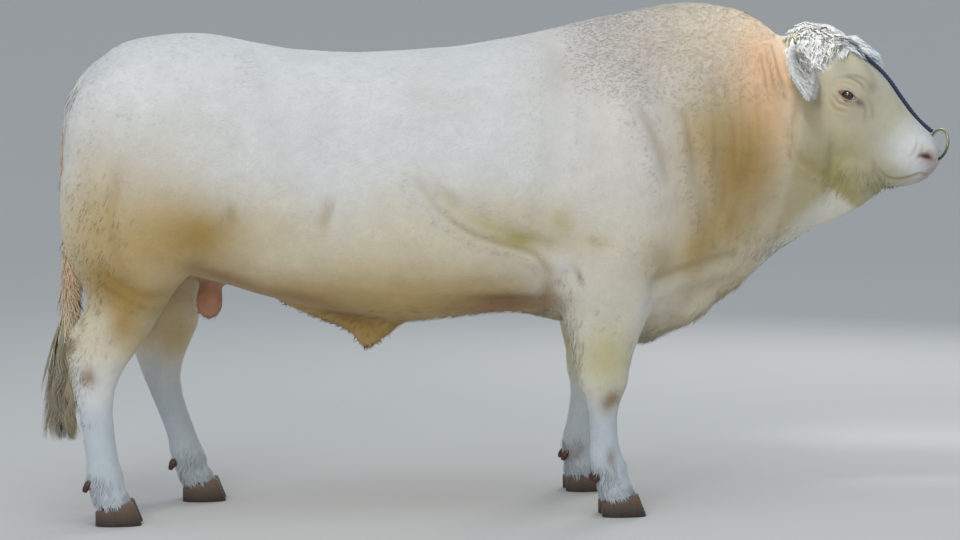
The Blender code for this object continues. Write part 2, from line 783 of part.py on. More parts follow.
def flesh():
    """Trunk, neck, head and legs in one body, before it is parted."""
    pieces = [trunk(), throat()] + [leg(which) for which in STANCE]
    pieces += head_pieces() + muscles()
    body = remeshed(joined("body", pieces), VOXEL)
    relax(body, 24, softness)
    part_buttocks(body)
    largest_body(body)
    for route, width, depth in CREASES:
        crease(body, route, width, depth)
    thin_flesh(body)
    return body


def part_buttocks(body):
    """Sinks the valley between the thighs, behind which the tail hangs."""
    points = points_of(body)
    rear = np.clip((-1.14 - points[:, 0]) / 0.12, 0, 1)
    low = np.clip((points[:, 2] - 0.74) / 0.12, 0, 1) * np.clip((1.36 - points[:, 2]) / 0.14, 0, 1)
    across = np.exp(-((points[:, 1] / 0.042) ** 2))
    points[:, 0] += VALLEY_DEPTH * rear * low * across
    set_points(body, points)


def thin_flesh(body):
    """Decimates the flesh everywhere, then all of it but the head and the lower legs."""
    decimated(body, FINE_TRIANGLES)
    points = points_of(body)
    ahead = (to_head(points)[:, :2] - HEAD_CUT) @ HEAD_CUT_NORMAL
    head = (ahead > -0.03) & (points[:, 0] > 0.8)
    free = np.flatnonzero(~head & (points[:, 2] > 0.50))
    body.vertex_groups.new(name="trunk").add(free.tolist(), 1.0, "REPLACE")
    decimated(body, BODY_TRIANGLES, "trunk")
    body.vertex_groups.clear()


def crease(obj, route, width, depth, beyond=0.1):
    """Sinks a soft groove along an (x, z) route on both flanks, with low swellings beside it."""
    points = points_of(obj)
    flat = points[:, [0, 2]]
    route = np.array(route, float)
    away = np.full(len(flat), 9.0)
    for a, b in zip(route, route[1:]):
        share = np.clip((flat - a) @ (b - a) / ((b - a) @ (b - a)), 0, 1)
        away = np.minimum(away, np.linalg.norm(flat - a - share[:, None] * (b - a), axis=1))
    groove = np.exp(-((away / width) ** 2)) - 0.35 * np.exp(-(((away - 2 * width) / width) ** 2))
    groove = groove * (np.abs(points[:, 1]) > beyond)
    set_points(obj, points - normals_of(obj) * (depth * groove)[:, None])


CREASES = (
    (((-0.226, 1.036), (-0.151, 0.991), (-0.076, 0.945), (0.091, 0.863), (0.174, 0.832)), 0.022, 0.012),
    (((0.163, 0.801), (0.188, 0.686), (0.21, 0.61)), 0.016, 0.010),
    (((0.444, 1.276), (0.488, 1.20), (0.52, 1.109), (0.539, 1.033)), 0.020, 0.007),
    (((0.60, 1.247), (0.62, 1.139), (0.636, 1.047), (0.665, 0.985), (0.685, 0.893)), 0.020, 0.010),
    (((0.703, 1.139), (0.71, 0.984), (0.724, 0.86)), 0.014, 0.005),
    (((0.506, 0.724), (0.648, 0.769), (0.758, 0.793)), 0.020, 0.010),
    (((-1.136, 0.964), (-1.150, 1.10), (-1.12, 1.22)), 0.028, 0.010),
    (((-0.785, 1.02), (-0.777, 0.90)), 0.030, 0.008),
    (((0.22, 1.42), (0.20, 1.20), (0.17, 0.95)), 0.035, 0.008),
)


# The head's own forms


def nostril_cutter(side):
    tip = Matrix.Rotation(0.55, 3, "Z")
    at = from_head((0.540, 0.004, side * 0.066))
    return ellipsoid("nostril", at, (0.026, 0.012, 0.026), head_turn() @ tip, 2)


MOUTH = (
    (0.468, -0.124), (0.487, -0.129), (0.507, -0.123), (0.532, -0.101), (0.553, -0.066),
    (0.568, -0.038), (0.610, -0.030),
)
MOUTH_WIDTH = 0.0036
MOUTH_DEPTH = 0.007


def mouth_cutter(head):
    """A thin curved sheet through the line of the mouth, kept to a shallow slot in the lips."""
    line = smooth_path([(s, h, 0) for s, h in MOUTH], 14)[:, :2]
    along = np.gradient(line, axis=0)
    along /= np.linalg.norm(along, axis=1)[:, None]
    across = np.stack([-along[:, 1], along[:, 0]], -1) * MOUTH_WIDTH / 2
    outline = np.vstack([line + across, (line - across)[::-1]])
    rings = [from_head([(s, h, q) for s, h in outline]) for q in (-0.13, 0.13)]
    sheet = loft("mouth", rings)
    core = grown(head, -MOUTH_DEPTH)
    boolean(sheet, core, "DIFFERENCE")
    remove(core)
    return sheet


def eye_centre(tree, side):
    """The eyeball's centre, from where the skin of the head lies beside it."""
    s, h = EYE_AT
    return np.array((s, h, side * (from_beside(tree, s, h, side) - EYE_RADIUS * EYE_SET)))


def lid_ring(tree, centre, side):
    """The rim of both lids: an almond that lies on the eyeball and the skin round it."""
    path = []
    for turn in np.linspace(0, 2 * math.pi, 21)[:-1]:
        length = LID_LENGTH * math.cos(turn)
        height = (LID_ABOVE if math.sin(turn) > 0 else LID_BELOW) * math.sin(turn)
        height *= 1 - 0.35 * math.cos(turn) ** 2
        s = centre[0] + length * math.cos(LID_TIP) - height * math.sin(LID_TIP)
        h = centre[1] + length * math.sin(LID_TIP) + height * math.cos(LID_TIP)
        skin = from_beside(tree, s, h, side)
        ball = EYE_RADIUS**2 - (s - centre[0]) ** 2 - (h - centre[1]) ** 2
        ball = abs(centre[2]) + math.sqrt(max(ball, 0))
        path.append(from_head((s, h, side * max(skin, ball))))
    path = np.array(path)
    middle = path.mean(axis=0)
    around = np.linspace(0, 2 * math.pi, 6, endpoint=False)
    rings = []
    for k, point in enumerate(path):
        forward = path[(k + 1) % len(path)] - path[k - 1]
        outward = point - middle
        outward = unit(outward - forward * (outward @ forward) / (forward @ forward))
        aside = np.outer(LID_OUT + LID_HALF_WIDTH * np.cos(around), outward)
        rings.append(point + aside + np.outer(LID_PROUD * np.sin(around), HEAD_LEFT * side))
    return closed_loop("lid", rings)


def bvh(obj):
    return BVHTree.FromPolygons(
        [vert.co for vert in obj.data.vertices], [face.vertices for face in obj.data.polygons]
    )


def eyes_and_lids(head):
    """The two eyeballs, and the head with its lids, open sockets, nostrils and mouth."""
    tree = bvh(head)
    balls = []
    for side, name in ((-1, "eye_right"), (1, "eye_left")):
        centre = eye_centre(tree, side)
        opening = ellipsoid(
            "opening", from_head(centre + (0, 0, side * EYE_RADIUS)),
            (LID_LENGTH * 0.96, LID_ABOVE * 0.95, 0.012),
            head_turn() @ Matrix.Rotation(LID_TIP, 3, "Z"), 2,
        )
        lid = lid_ring(tree, centre, side)
        ball = ellipsoid(name, from_head(centre), (EYE_RADIUS,) * 3, detail=2)
        boolean(head, opening, "DIFFERENCE")
        boolean(head, lid, "UNION")
        cutter = grown(ball, GAP)
        boolean(head, cutter, "DIFFERENCE")
        remove(opening, lid, cutter)
        balls.append(ball)
    for cutter in (nostril_cutter(-1), nostril_cutter(1), mouth_cutter(head)):
        boolean(head, cutter, "DIFFERENCE")
        remove(cutter)
    largest_body(head)
    return balls


EAR_HALF_WIDTH = through(
    (0, 0.032), (0.25, 0.052), (0.5, 0.049), (0.75, 0.032), (0.93, 0.012), (1, 0.005)
)
EAR_CUP = through((0, 1.50), (0.15, 1.10), (0.35, 0.80), (0.6, 0.65), (1, 0.4))


def ear_line(side):
    """An ear's root, the way to its tip with its length, and the way that its cup faces."""
    root = from_head((EAR_ROOT[0], EAR_ROOT[1], side * EAR_ROOT[2]))
    tip = from_head((EAR_TIP[0], EAR_TIP[1], side * EAR_TIP[2]))
    along = unit(tip - root)
    open_to = EAR_FORWARD * HEAD_FORWARD + EAR_ASIDE * side * HEAD_LEFT
    return root, tip - root, along, unit(open_to - along * (open_to @ along))


def ear(side):
    """A drooping ear: a leaf of even thickness, cupped towards the front and the side."""
    root, whole, _, open_to = ear_line(side)
    across = np.cross(unit(whole), open_to)
    bm = bmesh.new()
    steps, spans = 9, 6
    outer, inner = [], []
    for i in range(steps):
        u = i / (steps - 1)
        half = EAR_HALF_WIDTH(u)
        cup = EAR_CUP(u)
        radius = half / math.sin(min(cup, math.pi / 2))
        middle = root + whole * u - open_to * EAR_BOW * math.sin(math.pi * u)
        for rows, r in ((outer, radius + EAR_THICKNESS / 2), (inner, radius - EAR_THICKNESS / 2)):
            row = []
            for k in range(spans + 1):
                angle = (2 * k / spans - 1) * cup
                back = r * math.cos(angle) - radius * math.cos(cup)
                row.append(bm.verts.new(middle + across * r * math.sin(angle) - open_to * back))
            rows.append(row)
    for i in range(steps - 1):
        for k in range(spans):
            for rows in (outer, inner):
                a, b = rows[i][k], rows[i][k + 1]
                c, d = rows[i + 1][k + 1], rows[i + 1][k]
                bm.faces.new((a, b, c))
                bm.faces.new((a, c, d))
        for k in (0, spans):
            bm.faces.new((outer[i][k], outer[i + 1][k], inner[i + 1][k], inner[i][k]))
    for i in (0, steps - 1):
        for k in range(spans):
            bm.faces.new((outer[i][k], outer[i][k + 1], inner[i][k + 1], inner[i][k]))
    return new_object("ear_right" if side < 0 else "ear_left", bm)


def ear_tag(bearer):
    """A blank plate behind the right ear, on a short stud that meets the ear's back."""
    root, whole, along, open_to = ear_line(-1)
    behind = root + TAG_SHARE * whole - 0.06 * open_to - 0.12 * HEAD_FORWARD
    hit, normal, _, _ = bvh(bearer).find_nearest(Vector(behind))
    out = np.array(normal)
    down = unit(along - out * (along @ out))
    turn = np.stack([np.cross(down, out), down, out])
    wide, long, thick = TAG_SIZE
    centre = np.array(hit) + out * TAG_STAND + down * long * 0.3
    plate = box("ear_tag", (-wide / 2, -long / 2, -thick / 2), (wide / 2, long / 2, thick / 2))
    bevel = plate.modifiers.new("corners", "BEVEL")
    bevel.width = TAG_BEVEL
    bevel.segments = 1
    apply_modifiers(plate)
    set_points(plate, points_of(plate) @ turn + centre)
    stem = [np.array(hit) - out * 0.002, np.array(hit) + out * TAG_STAND]
    stud = tube("stud", stem, (STUD_RADIUS, STUD_RADIUS), sides=10, aside=down)
    return fit_against(fused("ear_tag", [plate, stud]), bearer)


def lock(root, rise, lie, aside, length, width, thick, curl, taper=2.2, steps=4):
    """A flat, tapered lock: it rises from its root, then bends over along its lie."""
    path, wide = [], []
    for i in range(steps + 1):
        u = i / steps
        up = rise * math.sin(math.pi * min(u * 0.75 + 0.08, 1))
        point = root + lie * length * u + up
        path.append(point + aside * curl * length * math.sin(2.6 * u) * u)
        wide.append(max(1 - u**taper, 0.12))
    path = np.array(path)
    along = np.gradient(path, axis=0)
    rings = []
    for point, forward, share in zip(path, along, wide):
        forward = unit(forward)
        flat = unit(np.cross(forward, rise))
        up = np.cross(flat, forward)
        half, high = width / 2 * share, thick / 2 * max(share, 0.25)
        rings.append([point + flat * half, point + up * high, point - flat * half, point - up * high])
    return loft("lock", rings)


def tuft_lock(tree, draw, s, q, lie):
    """One short bending lock, rooted in the head at (s, q) and laid along the head's surface."""
    root, normal = from_above(tree, s, q)
    lie = lie + draw.uniform(-0.5, 0.5) * HEAD_LEFT
    lie = unit(lie - normal * (lie @ normal))
    return lock(
        root + normal * 0.004, normal * draw.uniform(0.006, 0.011), lie, np.cross(normal, lie),
        draw.uniform(0.044, 0.062), draw.uniform(0.028, 0.036), 0.012,
        draw.uniform(-0.32, 0.32), taper=3.4,
    )


def poll_tuft(head):
    """The curly forelock: a low cap on the poll under short locks, some down the left brow."""
    draw = random.Random(11)
    tree = bvh(head)
    tip = Matrix.Rotation(0.35, 3, "Z")
    pieces = [
        ellipsoid("cap", from_head((TUFT_MIDDLE, 0.016, 0)), (0.070, 0.038, 0.086), head_turn() @ tip, 2)
    ]
    for s in np.linspace(TUFT_FROM, TUFT_TO, TUFT_ROWS):
        share = 1 - ((s - TUFT_MIDDLE) / TUFT_HALF_LENGTH) ** 2
        reach = TUFT_HALF_WIDTH * math.sqrt(max(share, 0.1))
        count = max(int(round(2 * reach / LOCK_SPACING)), 3)
        for k in range(count):
            q = reach * (2 * (k + 0.5) / count - 1) + draw.uniform(-0.004, 0.004)
            forward = 0.9 if s > -0.02 else -0.6
            lie = forward * HEAD_ALONG + q * 12 * HEAD_LEFT
            pieces.append(tuft_lock(tree, draw, s, q, lie))
    for s, q in BROW_LOCKS:
        pieces.append(tuft_lock(tree, draw, s, q, HEAD_ALONG + 0.3 * HEAD_LEFT))
    tuft = fused("poll_tuft", pieces)
    return fit_against(tuft, head)


def tail():
    path = smooth_path(TAIL_PATH, 18)
    share = np.linspace(0, 1, len(path))
    radii = TAIL_TOP_RADIUS + (TAIL_END_RADIUS - TAIL_TOP_RADIUS) * share**0.7
    return tube("tail", path, radii, sides=8)


def tail_switch():
    """The tuft of long hair at the tail's end, as hanging locks round a tapering core."""
    draw = random.Random(7)
    x, y, top = TAIL_PATH[-1]
    top -= GAP
    down = np.array([0, 0, -1.0])
    rows = ((0, TAIL_END_RADIUS), *SWITCH_CORE)
    core = [(x, y, top - depth) for depth, _ in rows]
    pieces = [tube("core", core, [radius for _, radius in rows], sides=8)]
    for k in range(SWITCH_LOCKS):
        turn = k * LEAF_TURN
        depth = 0.02 + 0.15 * (k / SWITCH_LOCKS)
        outward = np.array([math.cos(turn), math.sin(turn), 0])
        root = np.array([x, y, top - depth]) + outward * 0.012
        spread = draw.uniform(0.012, 0.040)
        length = min(draw.uniform(0.20, 0.30), top - depth - SWITCH_END)
        lie = down + outward * spread / length
        aside = np.cross(down, outward)
        pieces.append(
            lock(
                root, outward * draw.uniform(0.006, 0.014), lie, aside, length,
                draw.uniform(0.020, 0.028), 0.009, draw.uniform(-0.05, 0.05),
            )
        )
    return fused("tail_switch", pieces)


def claw(name, x, y, inner):
    """One hoof half: flat sole on the floor, sloping toe, flat face towards its twin."""
    rings = []
    for v in np.linspace(0, 1, 4):
        length = CLAW_LENGTH * (0.80 + 0.20 * v)
        width = CLAW_WIDTH * (0.90 + 0.10 * v)
        middle = x - 0.002 + 0.016 * v
        wide, along = egg(14, width / 2, length / 2, length / 2, 2.6, 2.2)
        wide = np.where(wide * inner > 0, wide * 0.92, wide)
        px = middle + along
        top = HEEL_HEIGHT + CORONET_SLOPE * (px - x + CORONET_LENGTH / 2) - GAP
        rings.append(np.stack([px, y + wide, top * (1 - v)], -1))
    return loft(name, rings)


def foot(which):
    """Claws and dewclaws under one leg, and the plane that the leg ends at."""
    fore = which.startswith("fore")
    side = -1 if which.endswith("near") else 1
    line = FORE_LINE if fore else HIND_LINE
    depth = FORE_DEPTH if fore else HIND_DEPTH
    x = float(line(0.05) + STANCE[which](0.05))
    y = side * (FORE_TRACK if fore else HIND_TRACK)
    middle = float(line(DEWCLAW_HEIGHT) + STANCE[which](DEWCLAW_HEIGHT))
    back = middle - depth(DEWCLAW_HEIGHT) / 2
    nodes = []
    for place, half in (("inner", -side), ("outer", side)):
        beside = y + half * (CLAW_WIDTH + CLEFT) / 2
        nodes.append(claw(f"{LEG_NAMES[which]}_{place}_claw", x, beside, -half))
        stem = [
            (back + behind, y + half * aside, DEWCLAW_HEIGHT + up)
            for (behind, aside, up), _ in DEWCLAW
        ]
        radii = [radius for _, radius in DEWCLAW]
        name = f"{LEG_NAMES[which]}_{place}_dewclaw"
        nodes.append(tube(name, stem, radii, sides=7, flat=0.85))
    point = (x - CORONET_LENGTH / 2, y, HEEL_HEIGHT)
    return nodes, slab("below", point, (CORONET_SLOPE, 0, -1))


def nose_ring():
    """The ring, whose lowest point passes through the nose."""
    centre = from_head(RING_AT)
    up = unit(centre - from_head(SEPTUM_AT))
    sideways = HEAD_LEFT * math.cos(RING_TWIST) + HEAD_FORWARD * math.sin(RING_TWIST)
    sideways = unit(sideways - up * (sideways @ up))
    axis = np.cross(up, sideways)
    rows = []
    for turn in np.linspace(0, 2 * math.pi, 22, endpoint=False):
        outward = up * math.cos(turn) + sideways * math.sin(turn)
        around = np.linspace(0, 2 * math.pi, 6, endpoint=False)
        out = np.outer(RING_RADIUS + RING_WIRE * np.cos(around), outward)
        rows.append(centre + out + np.outer(RING_WIRE * np.sin(around), axis))
    return closed_loop("nose_ring", rows)


def face_rope(head):
    """A thin rope from the ring up the left of the nose and over the brow into the forelock."""
    tree = bvh(head)
    path = []
    for s, q in ROPE_ROUTE:
        hit, normal = from_above(tree, s, q)
        path.append(hit + normal * (ROPE_RADIUS + ROPE_STAND))
    path = smooth_path(path, 20)
    return tube("face_rope", path, [ROPE_RADIUS] * len(path), sides=6)


def parted_legs(body):
    """Parts each leg from the body and divides it, and sets its claws and dewclaws."""
    nodes = []
    for which, (x_low, x_high, y_inner, top, joint) in LEG_CUTS.items():
        side = -1 if which.endswith("near") else 1
        y_low, y_high = sorted((side * y_inner, side * LEG_REACH))
        cutter = box("cut", (x_low, y_low, -0.1), (x_high, y_high, top))
        upper = parted(body, LEG_NAMES[which] + "_upper", cutter)
        lower = parted(upper, LEG_NAMES[which] + "_lower", slab("cut", (0, 0, joint), (0, 0, -1)))
        feet, below = foot(which)
        boolean(lower, below, "DIFFERENCE")
        remove(below)
        largest_body(lower)
        for node in feet:
            if node.name.endswith("dewclaw"):
                make_room(lower, node)
        nodes += [upper, lower, *feet]
    return nodes


def trunk_nodes():
    """All flesh in its nodes, with the tail, scrotum and sheath that grow from it."""
    body = flesh()
    cut = slab("cut", POLL + HEAD_CUT @ HEAD_AXES[:2], HEAD_CUT_NORMAL @ HEAD_AXES[:2])
    head = parted(body, "head", cut)
    nodes = [head, *parted_legs(body)]
    nodes.append(parted(body, "neck", slab("cut", *NECK_CUT)))
    nodes.append(parted(body, "forequarter", slab("cut", *CHEST_CUT)))
    hind = parted(body, "hindquarter", slab("cut", *LOIN_CUT))
    body.name = "barrel"
    tail_node = tail()
    make_room(hind, tail_node)
    switch = fit_against(tail_switch(), tail_node)
    bag = fit_against(scrotum(), hind)
    fold = fit_against(sheath(), body, hind)
    return head, [*nodes, hind, body, tail_node, switch, bag, fold]


def head_nodes(head):
    """Eyes, ears and forelock, and the ring, rope and tag that the bull wears."""
    balls = eyes_and_lids(head)
    ring = nose_ring()
    make_room(head, ring)
    ears = [fit_against(ear(side), head) for side in (-1, 1)]
    tag = ear_tag(ears[0])
    rope = face_rope(head)
    tuft = make_room(poll_tuft(head), rope)
    return [*balls, ring, *ears, tag, tuft, rope]


def dress(node):
    kind = next((finish for word, finish in NODE_FINISH if word in node.name), "cream")
    node.data.materials.clear()
    node.data.materials.append(material(kind))
    node.data.shade_smooth()
    node.data.set_sharp_from_angle(angle=math.radians(40))


def centre_on_floor(nodes):
    """Moves the model so that the origin is under the middle of its box."""
    low = np.min([points_of(node).min(axis=0) for node in nodes], axis=0)
    high = np.max([points_of(node).max(axis=0) for node in nodes], axis=0)
    move = np.array([-(low[0] + high[0]) / 2, -(low[1] + high[1]) / 2, 0])
    for node in nodes:
        set_points(node, points_of(node) + move)


def main():
    clear_scene()
    head, nodes = trunk_nodes()
    nodes += head_nodes(head)
    for node in nodes:
        dress(node)
    centre_on_floor(nodes)


main()
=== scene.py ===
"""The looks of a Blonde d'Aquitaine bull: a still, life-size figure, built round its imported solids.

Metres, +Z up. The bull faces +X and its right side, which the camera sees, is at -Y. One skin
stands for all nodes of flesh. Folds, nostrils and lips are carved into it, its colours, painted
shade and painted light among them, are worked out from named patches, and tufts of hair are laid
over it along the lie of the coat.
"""

import contextlib
import itertools
import math

import bmesh
import bpy
import numpy as np
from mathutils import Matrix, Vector
from mathutils.bvhtree import BVHTree

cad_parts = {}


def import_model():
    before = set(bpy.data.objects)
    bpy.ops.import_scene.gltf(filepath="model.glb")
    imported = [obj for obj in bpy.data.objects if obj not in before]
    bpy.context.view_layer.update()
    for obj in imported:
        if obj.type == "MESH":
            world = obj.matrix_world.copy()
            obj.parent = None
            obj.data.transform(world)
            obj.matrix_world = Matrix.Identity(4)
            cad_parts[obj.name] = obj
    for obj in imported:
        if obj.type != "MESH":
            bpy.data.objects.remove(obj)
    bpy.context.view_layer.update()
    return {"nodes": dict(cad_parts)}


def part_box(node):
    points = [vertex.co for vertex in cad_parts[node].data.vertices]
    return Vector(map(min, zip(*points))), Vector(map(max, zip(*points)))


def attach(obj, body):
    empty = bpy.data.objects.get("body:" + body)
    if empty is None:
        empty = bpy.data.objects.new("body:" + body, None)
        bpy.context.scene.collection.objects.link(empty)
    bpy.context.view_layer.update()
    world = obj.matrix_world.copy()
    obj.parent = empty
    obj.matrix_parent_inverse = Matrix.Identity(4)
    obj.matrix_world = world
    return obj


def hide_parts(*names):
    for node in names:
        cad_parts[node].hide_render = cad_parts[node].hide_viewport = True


# Camera: the photo's angle and its lens, in millimetres as the sensor's width
CAMERA_TURN = math.radians(-7)
CAMERA_DROP = math.radians(3.708)
CAMERA_HEIGHT = 1.17
CAMERA_DISTANCE = 6.4
CAMERA_LENS = 75.2
SENSOR_WIDTH = 36
BARREL_X = -0.0490

# Skin: how near points are welded, how far nodes are swollen to join, cells on the trunk,
# how deep the skin lies, and the cells, angle and margin of the plan that it is laid out by
WELD_REACH = 2e-5
OVERLAP = 0.0008
SKIN_VOXEL = 0.011
COAT_DEPTH = 0.0020
PLAN_VOXEL = 0.026
PLAN_ANGLE = math.radians(66)
PLAN_MARGIN = 0.004

# The head's own frame: s runs from the poll to the muzzle, h rises from the face, q points to
# the bull's left. The frame starts in the poll.
POLL = np.array([1.0110, -0.07, 1.50])
HEAD_TURN = math.radians(-28)
HEAD_DROP = math.radians(46)
HEAD_FORWARD = np.array([math.cos(HEAD_TURN), math.sin(HEAD_TURN), 0])
HEAD_LEFT = np.array([-math.sin(HEAD_TURN), math.cos(HEAD_TURN), 0])
HEAD_ALONG = HEAD_FORWARD * math.cos(HEAD_DROP) - np.array([0, 0, math.sin(HEAD_DROP)])
HEAD_UP = HEAD_FORWARD * math.sin(HEAD_DROP) + np.array([0, 0, math.cos(HEAD_DROP)])
HEAD_AXES = np.stack([HEAD_ALONG, HEAD_UP, HEAD_LEFT])
EYE_AT = (0.236, -0.030)
ABOVE_FACE = 0.4
SIDE_NAMES = {-1: "right", 1: "left"}

LEGS = ("right_foreleg", "left_foreleg", "right_hindleg", "left_hindleg")
FLESH = (
    "head", "neck", "forequarter", "barrel", "hindquarter", "tail", "scrotum", "sheath",
    *(f"{leg}_{part}" for leg in LEGS for part in ("upper", "lower")),
)

# Colours of the coat and of bare skin, linear, and of the shade and light painted on them
WHITE = np.array([0.80, 0.80, 0.78])
CREAM = np.array([0.78, 0.71, 0.55])
TAN = np.array([0.39, 0.24, 0.06])
OCHRE = np.array([0.53, 0.37, 0.12])
WARM = np.array([0.86, 0.79, 0.70])
# Painted light: a warm glow of sunlight through the hair, on the neck behind the ear and high on the
# tail
PAINTED_GLOW = np.array([0.96, 0.57, 0.32])
GREY = np.array([0.60, 0.55, 0.49])
GREEN = np.array([0.36, 0.31, 0.075])
FACE = np.array([0.52, 0.49, 0.37])
# Real dirt on knees and hocks, and painted shade along the under line and in the fold behind the elbow
DIRT_AND_SHADE = np.array([0.26, 0.15, 0.06])
# Red-brown painted shade, in folds of the neck and along the under line
RED_BROWN_SHADE = np.array([0.30, 0.14, 0.035])
# A white tinted blue as by the sky: painted sky light on the lower legs, and painted shade on the far
# legs and on the hair over the forehead
SKYLIT_WHITE = np.array([0.61, 0.67, 0.72])
THROAT = np.array([0.76, 0.73, 0.62])
BARE = np.array([0.42, 0.17, 0.10])
PINK = np.array([0.62, 0.36, 0.30])
DARK = np.array([0.05, 0.03, 0.025])

# Colours of the other materials, in pairs where they change from low to high
HORN = ((0.055, 0.038, 0.028), (0.230, 0.150, 0.110))
METAL = ((0.10, 0.10, 0.085), (0.52, 0.49, 0.30))
DEWCLAW = (0.080, 0.030, 0.018)
LID_SKIN = (0.07, 0.025, 0.018)
ROPE = (0.045, 0.055, 0.115)
TAG = (0.88, 0.33, 0.03)
GROUND = (0.74, 0.74, 0.73)


# Numbers and curves

PATH_STEPS = 24


def through(*knots):
    """A function that runs straight between (position, value) knots."""
    at = [knot[0] for knot in knots]
    value = [knot[1] for knot in knots]
    return lambda x: np.interp(x, at, value)


def way_along(path):
    """The way from the first point of a path to each of them."""
    return np.concatenate([[0], np.cumsum(np.linalg.norm(np.diff(path, axis=0), axis=1))])


def smooth_path(points, count):
    """Evenly spaced points on a smooth curve through the given ones."""
    points = np.array(points, float)
    ends = np.vstack([2 * points[0] - points[1], points, 2 * points[-1] - points[-2]])
    fine = []
    for i in range(1, len(ends) - 2):
        before, here, there, after = ends[i - 1 : i + 3]
        for u in np.linspace(0, 1, PATH_STEPS, endpoint=False):
            bend = 2 * before - 5 * here + 4 * there - after
            twist = 3 * here - before - 3 * there + after
            fine.append(0.5 * (2 * here + (there - before) * u + bend * u**2 + twist * u**3))
    fine.append(points[-1])
    fine = np.array(fine)
    length = way_along(fine)
    wanted = np.linspace(0, length[-1], count)
    return np.stack([np.interp(wanted, length, column) for column in fine.T], -1)


def unit(vectors):
    return vectors / np.maximum(np.linalg.norm(vectors, axis=-1, keepdims=True), 1e-12)


def flattened(ways, normals):
    """Directions turned to be square to the normals, as along a surface."""
    return unit(ways - normals * (ways * normals).sum(axis=-1, keepdims=True))


def eased(low, high, value):
    """0 below low, 1 above high and smooth between them."""
    share = np.clip((value - low) / (high - low), 0, 1)
    return share * share * (3 - 2 * share)


def round_share(flat, at, reach):
    """1 at a place, less and less away from it."""
    return np.exp(-(((flat - at) / reach) ** 2).sum(axis=1))


def tilted(flat, at, tilt):
    """How far points lie along and across a tilted line through a place."""
    ahead, up = (flat - at).T
    cos, sin = math.cos(tilt), math.sin(tilt)
    return ahead * cos + up * sin, up * cos - ahead * sin


def noise(points, size, seed=0):
    """Smooth noise from -1 to 1 whose lumps are about size across, in metres."""
    cell = points / np.asarray(size) + seed * 19.7
    base = np.floor(cell).astype(np.int64)
    part = cell - base
    part = part * part * (3 - 2 * part)
    total = np.zeros(len(points))
    for corner in itertools.product((0, 1), repeat=3):
        at = base + np.array(corner)
        mixed = (at[:, 0] * 73856093) ^ (at[:, 1] * 19349663) ^ (at[:, 2] * 83492791)
        mixed = ((mixed ^ (mixed >> 13)) * 1274126177) & 0xFFFFFFFF
        value = ((mixed ^ (mixed >> 16)) & 0xFFFF) / 32767.5 - 1
        share = np.where(np.array(corner), part, 1 - part).prod(axis=1)
        total += value * share
    return total


def to_head(points):
    """(s, h, q) of world points."""
    return (points - POLL) @ HEAD_AXES.T


def from_head(points):
    """World places of (s, h, q) points."""
    return POLL + np.asarray(points, float) @ HEAD_AXES


def met_from_above(tree, s, q):
    """Where a line from above the face meets a surface, and the surface's normal there."""
    hit, normal, _, _ = tree.ray_cast(Vector(from_head((s, ABOVE_FACE, q))), Vector(-HEAD_UP))
    return np.array(hit), np.array(normal)


def full_turn(count):
    """Evenly spaced angles round a circle."""
    return np.linspace(0, 2 * math.pi, count, endpoint=False)


def round_section(middle, first, second, wide, high, sides=14):
    """Points round a middle: wide is the radius the first way, high the second way."""
    turn = full_turn(sides)
    return middle + np.outer(wide * np.cos(turn), first) + np.outer(high * np.sin(turn), second)


# Meshes


def add_object(name, data):
    obj = bpy.data.objects.new(name, data)
    bpy.context.scene.collection.objects.link(obj)
    return obj


@contextlib.contextmanager
def opened(mesh):
    """A mesh opened for editing and kept as it is at the end."""
    bm = bmesh.new()
    bm.from_mesh(mesh)
    yield bm
    bm.to_mesh(mesh)
    bm.free()


def mesh_object(name, points, faces, normals=None):
    """An object from arrays of points, of equally long faces and of shading normals."""
    mesh = bpy.data.meshes.new(name)
    points = np.asarray(points, np.float32)
    faces = np.asarray(faces, np.int32)
    mesh.vertices.add(len(points))
    mesh.vertices.foreach_set("co", points.ravel())
    mesh.loops.add(faces.size)
    mesh.loops.foreach_set("vertex_index", faces.ravel())
    mesh.polygons.add(len(faces))
    mesh.polygons.foreach_set("loop_start", np.arange(0, faces.size, faces.shape[1]))
    mesh.update(calc_edges=True)
    mesh.shade_smooth()
    if normals is not None:
        mesh.normals_split_custom_set_from_vertices(normals)
    return add_object(name, mesh)


def read(items, field, width=3, kind=np.float32):
    """One field of a mesh's items as rows of an array."""
    found = np.empty(len(items) * width, kind)
    items.foreach_get(field, found)
    return found.reshape(-1, width)


def points_of(obj):
    return read(obj.data.vertices, "co").astype(float)


def set_points(obj, points):
    obj.data.vertices.foreach_set("co", np.asarray(points, np.float32).ravel())
    obj.data.update()


def normals_of(obj):
    return read(obj.data.vertex_normals, "vector").astype(float)


def triangles_of(obj):
    obj.data.calc_loop_triangles()
    return read(obj.data.loop_triangles, "vertices", kind=np.int32)


def apply_modifiers(obj):
    """Swaps the mesh for the one that its modifiers make."""
    graph = bpy.context.evaluated_depsgraph_get()
    made = bpy.data.meshes.new_from_object(obj.evaluated_get(graph))
    obj.modifiers.clear()
    old = obj.data
    obj.data = made
    bpy.data.meshes.remove(old)
    return obj


def remeshed(obj, cell):
    step = obj.modifiers.new("remesh", "REMESH")
    step.mode = "VOXEL"
    step.voxel_size = cell
    return apply_modifiers(obj)


def tree_of(obj):
    return BVHTree.FromPolygons(
        [vert.co for vert in obj.data.vertices], [face.vertices for face in obj.data.polygons]
    )


